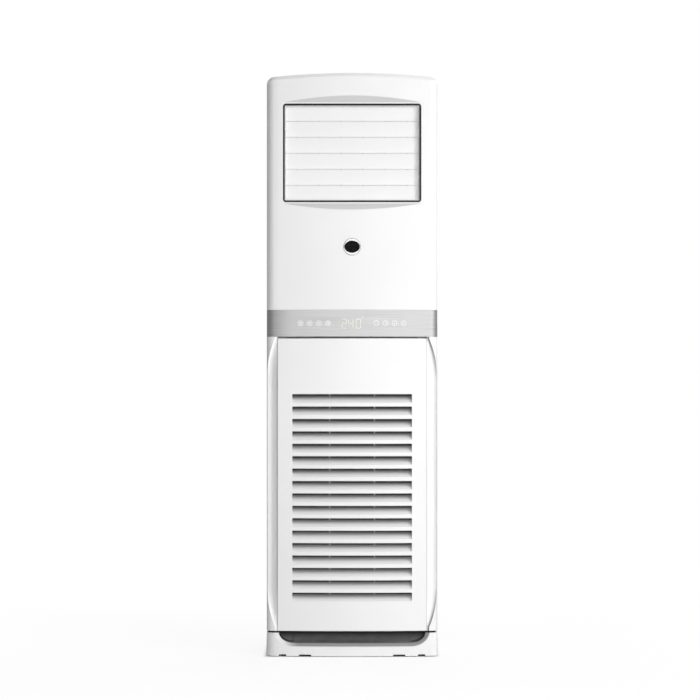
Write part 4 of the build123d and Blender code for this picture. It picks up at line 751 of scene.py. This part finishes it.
def faint_light(name, grain, dark, light, strength):
    """Ink or lens that gives off a little of its own colour."""
    material, tree, shader = new_material(name)
    colour = tone(tree, noise(tree, *grain), dark, light)
    tree.links.new(colour, shader.inputs["Base Color"])
    tree.links.new(colour, shader.inputs["Emission Color"])
    shader.inputs["Emission Strength"].default_value = strength
    return material


# The printed key ink glows a little: painted light.
key_ink_glow = faint_light("key_ink_glow", (900.0, 2.0), (0.78,) * 3, (0.84,) * 3, 0.2)
keys = printed("touch_keys", key_outlines, key_ink_glow, 0.00008, 0.00008)
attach(keys, "cabinet")

# Segment display: cream light through the band, showing a plain number.
digit_height = 0.030
digit_width = 0.0155
digit_step = 0.0205
digit_bar = 0.0019
digit_middle_z = key_z - 0.0015
digit_first_x = -0.0245
segment_gap = 0.0004
tail_gap = 0.003  # the last digit stands apart, behind the point
point_lead = 0.0015
degree_lead = 0.0125
degree_rise = 0.0185
degree_ring = (0.0011, 0.0021)
segment_sets = {"2": "abged", "4": "fgbc", "0": "abcdef"}


def segment_outline(letter, x, z):
    """Six-sided outline of one display segment."""
    half_w = digit_width / 2 - digit_bar / 2
    quarter = digit_height / 4 - digit_bar / 4
    level = {"a": (0, 2 * quarter), "g": (0, 0), "d": (0, -2 * quarter)}
    upright = {"b": (half_w, quarter), "c": (half_w, -quarter)}
    upright |= {"f": (-half_w, quarter), "e": (-half_w, -quarter)}
    dx, dz = (level | upright)[letter]
    angle, reach = (0, half_w) if letter in level else (pi / 2, quarter)
    reach -= segment_gap
    thick = digit_bar / 2
    shape = [(-reach, 0), (-reach + thick, thick), (reach - thick, thick)]
    shape += [(reach, 0), (reach - thick, -thick), (-reach + thick, -thick)]
    turned = [(u * cos(angle) - v * sin(angle), u * sin(angle) + v * cos(angle)) for u, v in shape]
    return [(x + dx + u, z + dz + v) for u, v in turned]


display_outlines = []
tail_x = digit_first_x + 2 * digit_step + tail_gap
digit_places = (("2", digit_first_x), ("4", digit_first_x + digit_step), ("0", tail_x))
for digit, digit_x in digit_places:
    for letter in segment_sets[digit]:
        display_outlines.append(segment_outline(letter, digit_x, digit_middle_z))
point_x = digit_first_x + 1.5 * digit_step + point_lead
point_z = digit_middle_z - digit_height / 2 + digit_bar / 2
display_outlines.append(bar(point_x, point_z, digit_bar, digit_bar, 0))
degree_x = tail_x + degree_lead
display_outlines += ring_pieces(degree_x, key_z + degree_rise, *degree_ring, 0, 2 * pi, 20)

display_tones = ((0.74, 0.74, 0.58), (0.80, 0.80, 0.64))
display_light = faint_light("display_light", (300.0, 1.0), *display_tones, 0.08)
digits = printed("display_digits", display_outlines, display_light, 0.00008)
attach(digits, "cabinet")

# ---- Intake door -------------------------------------------------------------------------
# Bowed white moulding with seventeen slots.  Behind each slot a blade rises inwards so
# that the filter stays hidden, and painted shade darkens its deep end.  It snaps off on six
# studs.

slot_shade_from = 0.006
slot_shade_full = 0.0215
door_white = moulding("door_moulding", *case_white, 0.36)
door_tree, door_shader = inside(door_white)
# Painted shade: the colour darkens with depth behind the bowed face, inside the slots.
door_slot_shade = map_range(door_tree, behind_bow(door_tree), slot_shade_from, slot_shade_full)
lay_over(door_tree, door_shader, door_slot_shade, (0.26,) * 3)
dress(door_white, "white_moulding", "grille_door")
dress(inner_plastic, "inner_moulding", "door_catches")

# ---- Front stiles ------------------------------------------------------------------------
# White mouldings at both front corners, each scooped out beside the door so that fingers
# reach behind its edge.  Painted shade lies on the right groove's outer flank, towards its
# ends, and on the outer edges; the same flank on the left carries a painted highlight.

flank_ends = ((0.872, 0.9928), (0.2130, 0.0922))  # heights where the groove swings inwards
lip_x = 0.2660
lip_swing = (-0.0190, -0.0056)  # on the square and on the cube of the way along
lip_line = 0.0002
lip_round = 0.0015
flank_fade = 0.8


def flank(tree, reach, side):
    """Share of the groove's outer flank, towards its ends; side -1 is the left stile."""
    x = object_axes(tree)[0]
    shares = []
    for start, end in flank_ends:
        run = along_axis(tree, 2, start, end)
        square = combine(tree, "MULTIPLY", run, run)
        cube = combine(tree, "MULTIPLY", square, run)
        lip = combine(tree, "MULTIPLY_ADD", square, lip_swing[0], lip_x)
        lip = combine(tree, "MULTIPLY_ADD", cube, lip_swing[1], lip)
        inner = combine(tree, "MULTIPLY_ADD", x, -side, lip)
        share = map_range(tree, inner, reach, lip_round, curve="SMOOTHSTEP")
        share = combine(tree, "MULTIPLY", share, combine(tree, "GREATER_THAN", inner, lip_line))
        shares.append(combine(tree, "MULTIPLY", share, combine(tree, "POWER", run, flank_fade)))
    return combine(tree, "MAXIMUM", *shares)


def stile_material(name, edge_shade, flank_reach, side, flank_tone):
    """White moulding with painted shade on its outer edge and a painted tone on its flank."""
    material = moulding(name, *case_white, 0.36)
    tree, shader = inside(material)
    shade_edges(tree, shader, edge_x, edge_shade)
    lay_over(tree, shader, flank(tree, flank_reach, side), (flank_tone,) * 3)
    return material


# Painted shade on both stiles' outer edges and on the right flank; painted highlight on the left
# flank.
stile_white = stile_material("stile_moulding", (0.011, 0.48), 0.011, 1, 0.10)
left_white = stile_material("left_stile_moulding", (0.006, 0.32), 0.007, -1, 0.97)
dress(stile_white, "white_moulding", "right_front_stile")
dress(left_white, "white_moulding", "left_front_stile")

# ---- Intake rails and filter -------------------------------------------------------------
# Two grooved cross rails hold the washable filter, a net of fine crossed threads in a
# moulded frame.

dress(inner_plastic, "inner_moulding", "intake_top_rail", "intake_bottom_rail")
net, net_tree, net_shader = new_material("filter_net")
net_place = net_tree.nodes.new("ShaderNodeTexCoord")
net_waves = []
for direction in ("X", "Z"):
    wave = net_tree.nodes.new("ShaderNodeTexWave")
    wave.bands_direction = direction
    wave.inputs["Scale"].default_value = 120.0
    net_tree.links.new(net_place.outputs["Object"], wave.inputs["Vector"])
    net_waves.append(wave.outputs["Fac"])
weave = combine(net_tree, "MAXIMUM", *net_waves)
colour_by(net_tree, net_shader, weave, (0.035, 0.035, 0.036), (0.14, 0.14, 0.15))
net_shader.inputs["Roughness"].default_value = 0.7
relief(net_tree, net_shader, weave, 0.0003)
dress(net, "filter_net", "intake_filter")

# Threads of the net, laid on the front of its sheet inside the frame.
thread = 0.0004
thread_lift = 0.6 * thread  # the upright threads cross over the level ones
thread_pitch = 0.0030
net_border = 0.010
net_sheet = 0.0036
filter_low, filter_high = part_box("intake_filter")
net_low_x = filter_low.x + net_border
net_low_z = filter_low.z + net_border
net_width = filter_high.x - filter_low.x - 2 * net_border
net_height = filter_high.z - filter_low.z - 2 * net_border
net_y = filter_low.y + net_sheet


def net_thread(run, proud):
    """One flat six-sided thread along X or Z, starting at the net's corner."""
    half = thread / 2
    shape = [(-half, 0), (-half / 2, -half), (half / 2, -half), (half, 0), (half / 2, half / 2)]
    shape.append((-half / 2, half / 2))
    ends = []
    for along in (0, net_width if run == "X" else net_height):
        points = [(along, across) if run == "X" else (across, along) for across, _ in shape]
        ends.append([(x, deep - proud, z) for (x, z), (_, deep) in zip(points, shape)])
    body = bmesh.new()
    prism(body, *ends)
    return as_object("net_thread", body)


thread_grey, thread_tree, thread_shader = new_material("net_thread")
colour_by(thread_tree, thread_shader, noise(thread_tree, 800.0, 2.0), (0.10,) * 3, (0.17,) * 3)
thread_shader.inputs["Roughness"].default_value = 0.6
for run, step, count, proud in (
    ("X", (0, 0, thread_pitch), int(net_height / thread_pitch), 0.0),
    ("Z", (thread_pitch, 0, 0), int(net_width / thread_pitch), thread_lift),
):
    start = (net_low_x + step[0] / 2, net_y, net_low_z + step[2] / 2)
    one = net_thread(run, proud)
    threads = set_out(f"net_threads_{run}", one, thread_grey, start, (count, step))
    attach(threads, "filter")

# ---- Fan section -------------------------------------------------------------------------
# A forward-curved wheel in a folded spiral of zinc-coated sheet, turned by a motor on a
# bracket behind it.

dress(zinc, "zinc_sheet", "scroll_wrap", "scroll_front_plate", "scroll_back_plate")
dress(zinc, "zinc_sheet", "motor_bracket", "divider_plate")
dress(dark_plastic, "dark_moulding", "fan_wheel")
motor_tones = ((0.04, 0.043, 0.05), (0.07, 0.075, 0.085))
motor_paint = moulding("motor_can", *motor_tones, 0.4, 0.00006)
dress(motor_paint, "motor_can", "fan_motor")
ground_steel = plated("steel_shaft", (0.52, 0.52, 0.53))
dress(ground_steel, "steel_shaft", "motor_shaft")

# ---- Evaporator and pipes ----------------------------------------------------------------
# A leaning block of aluminium fins on copper tubes, over a moulded drain pan.  The pipes
# run down behind the shelf to the hole in the right side.

fin_pitch = 0.0022
fin_thickness = 0.0003
fins_metal = plated("coil_fins", (0.60, 0.62, 0.64))
core_low, core_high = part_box("evaporator_core")
coil_tilt = radians(30)
coil_thickness = 0.044
coil_length = 0.540
coil_foot = Vector((0, -0.102, 0.832))
coil_up = Vector((0, sin(coil_tilt), cos(coil_tilt)))
coil_out = Vector((0, -cos(coil_tilt), sin(coil_tilt)))


def coil_fin():
    """One fin of the coil, at x = 0, with slightly eased corners."""
    ease = 0.002
    half = coil_thickness / 2
    shape = [(-half, ease), (-half, coil_length - ease), (ease - half, coil_length)]
    shape += [(half - ease, coil_length), (half, coil_length - ease), (half, ease)]
    shape += [(half - ease, 0), (ease - half, 0)]
    faces = []
    for x in (-fin_thickness / 2, fin_thickness / 2):
        places = [coil_foot + coil_out * across + coil_up * along for across, along in shape]
        faces.append([(x, place.y, place.z) for place in places])
    body = bmesh.new()
    prism(body, *faces)
    return as_object("coil_fin", body)


coil_span = core_high.x - core_low.x
fin_count = int((coil_span - fin_thickness) / fin_pitch) + 1
fin_start = (-(fin_count - 1) * fin_pitch / 2, 0, 0)
fin_row = (fin_count, (fin_pitch, 0, 0))
fins = set_out("coil_fin_pack", coil_fin(), fins_metal, fin_start, fin_row)
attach(fins, "cabinet")
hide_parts("evaporator_core")
dress(fins_metal, "coil_fins", "evaporator_end_plates")

tube_radius = 0.0048
tube_rows = 2
tube_count = 18


def coil_tube():
    """One copper tube through the fins, along X."""
    half = coil_span / 2
    tube = lathe([(0, -half), (tube_radius, -half), (tube_radius, half), (0, half)], 12)
    tube.transform(Matrix.Rotation(-pi / 2, 4, "Z"))
    return as_object("coil_tube", tube)


copper, copper_tree, copper_shader = new_material("copper_tube")
tarnish = noise(copper_tree, 40.0, 5.0)
colour_by(copper_tree, copper_shader, tarnish, (0.36, 0.15, 0.08), (0.62, 0.30, 0.18))
gloss_by(copper_tree, copper_shader, tarnish, 0.26, 0.46)
copper_shader.inputs["Metallic"].default_value = 0.95
relief(copper_tree, copper_shader, noise(copper_tree, 300.0), 0.00005)
tube_step = coil_up * (coil_length / tube_count)
row_step = coil_out * (coil_thickness / tube_rows)
tube_start = coil_foot + tube_step / 2 - row_step / 2
tubes = set_out(
    "coil_tubes",
    coil_tube(),
    copper,
    tuple(tube_start),
    (tube_count, tuple(tube_step)),
    (tube_rows, tuple(row_step)),
)
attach(tubes, "cabinet")
dress(copper, "copper_tube", "return_bends", "gas_pipe", "liquid_pipe")
dress(inner_plastic, "inner_moulding", "drain_pan")

# ---- Electric parts ----------------------------------------------------------------------
# Folded steel box with the main board, run capacitor and terminals, the display board
# behind the band, and the cable bush low in the right side.

dress(zinc, "zinc_sheet", "control_box", "control_box_cover")
board, board_tree, board_shader = new_material("circuit_board")
tracks = noise(board_tree, 260.0, 2.0, (1.0, 1.0, 3.0))
colour_by(board_tree, board_shader, tracks, (0.012, 0.10, 0.04), (0.03, 0.19, 0.08))
board_shader.inputs["Roughness"].default_value = 0.35
relief(board_tree, board_shader, tracks, 0.00008)
# What stands proud of a board, a chip and three relays, is dark instead of green.  The main
# board faces the front on its spacers, and the display board carries its chip on its back.
board_thickness = 0.0016
spacer = 0.006
paint_margin = 0.0002
display_reach = 0.020  # everything nearer the front than this belongs to the display board
board_low, board_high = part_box("main_board")
board_face = board_high.y - spacer - board_thickness
display_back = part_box("display_board")[0].y + board_thickness
reach_end = display_back + display_reach
proud_front = along_axis(board_tree, 1, board_face - paint_margin, board_face - 2 * paint_margin)
on_back = along_axis(board_tree, 1, display_back + paint_margin, display_back + 2 * paint_margin)
on_display = along_axis(board_tree, 1, reach_end, reach_end - paint_margin / 2)
on_main = combine(board_tree, "SUBTRACT", 1.0, on_display)
main_parts = combine(board_tree, "MULTIPLY", proud_front, on_main)
display_parts = combine(board_tree, "MULTIPLY", on_back, on_display)
dark_parts = combine(board_tree, "MAXIMUM", main_parts, display_parts)
lay_over(board_tree, board_shader, dark_parts, (0.02, 0.02, 0.022))
dress(board, "circuit_board", "display_board", "main_board")
can_metal = plated("can_grey", (0.55, 0.55, 0.57))
dress(can_metal, "can_grey", "run_capacitor")
dress(dark_plastic, "dark_moulding", "terminal_block", "cable_gland")

# Screws of the cover, in its four corner holes, and of the terminals, in their pockets.
cover_low, cover_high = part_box("control_box_cover")
cover_inset_x = 0.012
cover_inset_z = 0.006
terminal_low, terminal_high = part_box("terminal_block")
terminal_pocket = 0.011
terminal_gap = 0.015
terminal_count = 4


def front_screw():
    """The cross-recess screw turned to face the front."""
    template = cross_screw()
    template.data.transform(Matrix.Rotation(pi, 4, "X"))
    return template


cover_screws = set_out(
    "cover_screws",
    front_screw(),
    screw_plating,
    (cover_low.x + cover_inset_x, cover_low.y, cover_low.z + cover_inset_z),
    (2, (0, 0, cover_high.z - cover_low.z - 2 * cover_inset_z)),
    (2, (cover_high.x - cover_low.x - 2 * cover_inset_x, 0, 0)),
)
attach(cover_screws, "cabinet")
terminal_pitch = (terminal_high.x - terminal_low.x) / terminal_count
terminal_screws = set_out(
    "terminal_screws",
    front_screw(),
    screw_plating,
    (
        terminal_low.x + terminal_pitch / 2,
        terminal_low.y + terminal_pocket,
        (terminal_low.z + terminal_high.z - terminal_gap) / 2,
    ),
    (2, (0, 0, terminal_gap)),
    (terminal_count, (terminal_pitch, 0, 0)),
)
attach(terminal_screws, "cabinet")


# Parts on the main board: three electrolytic cans, rows of resistors and white sockets.
def vented_can():
    """Electrolytic can standing forward from the board, with a rolled bead near its foot."""
    profile = [(0, 0), (0.0058, 0), (0.0058, 0.0020), (0.0053, 0.0026), (0.0058, 0.0032)]
    profile += [(0.0058, 0.0120), (0.0054, 0.0126), (0.0040, 0.0126), (0.0038, 0.0122)]
    profile += [(0, 0.0122)]
    body = lathe(profile, 28)
    body.transform(Matrix.Rotation(pi, 4, "X"))
    return as_object("vented_can", body)


def eased_block(name, width, height, rise, socket=0.0):
    """Small moulded body on the board, its edges eased; a socket depth hollows its front."""
    body = bmesh.new()
    bmesh.ops.create_cube(body, size=1.0)
    for vertex in body.verts:
        x, y, z = vertex.co
        vertex.co = Vector((x * width, (y - 0.5) * rise, z * height))
    if socket:
        front = min(body.faces, key=lambda face: face.calc_center_median().y)
        bmesh.ops.inset_region(body, faces=[front], thickness=width * 0.1)
        bmesh.ops.translate(body, verts=list(front.verts), vec=(0, socket, 0))
    else:
        bmesh.ops.bevel(body, geom=body.edges[:], offset=rise * 0.2, segments=2, affect="EDGES")
    return as_object(name, body)


def on_board(piece):
    """Let a populated piece ride the cabinet."""
    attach(piece, "cabinet")


can_start = (board_high.x - 0.062, board_face, board_high.z - 0.020)
can_row = (3, (0.017, 0, 0))
cans = set_out("board_cans", vented_can(), dark_plastic, can_start, can_row)
on_board(cans)
resistor = eased_block("resistor", 0.0062, 0.0024, 0.0022)
resistor_start = (board_low.x + 0.012, board_face, board_low.z + 0.018)
resistor_rows = ((7, (0, 0, 0.0052)), (4, (0.0100, 0, 0)))
resistors = set_out("board_resistors", resistor, inner_plastic, resistor_start, *resistor_rows)
on_board(resistors)
socket = eased_block("socket", 0.0140, 0.0075, 0.0080, 0.0055)
socket_start = (board_low.x + 0.014, board_face, board_low.z + 0.007)
socket_row = (5, (0.0170, 0, 0))
sockets = set_out("board_sockets", socket, slat_plastic, socket_start, socket_row)
on_board(sockets)
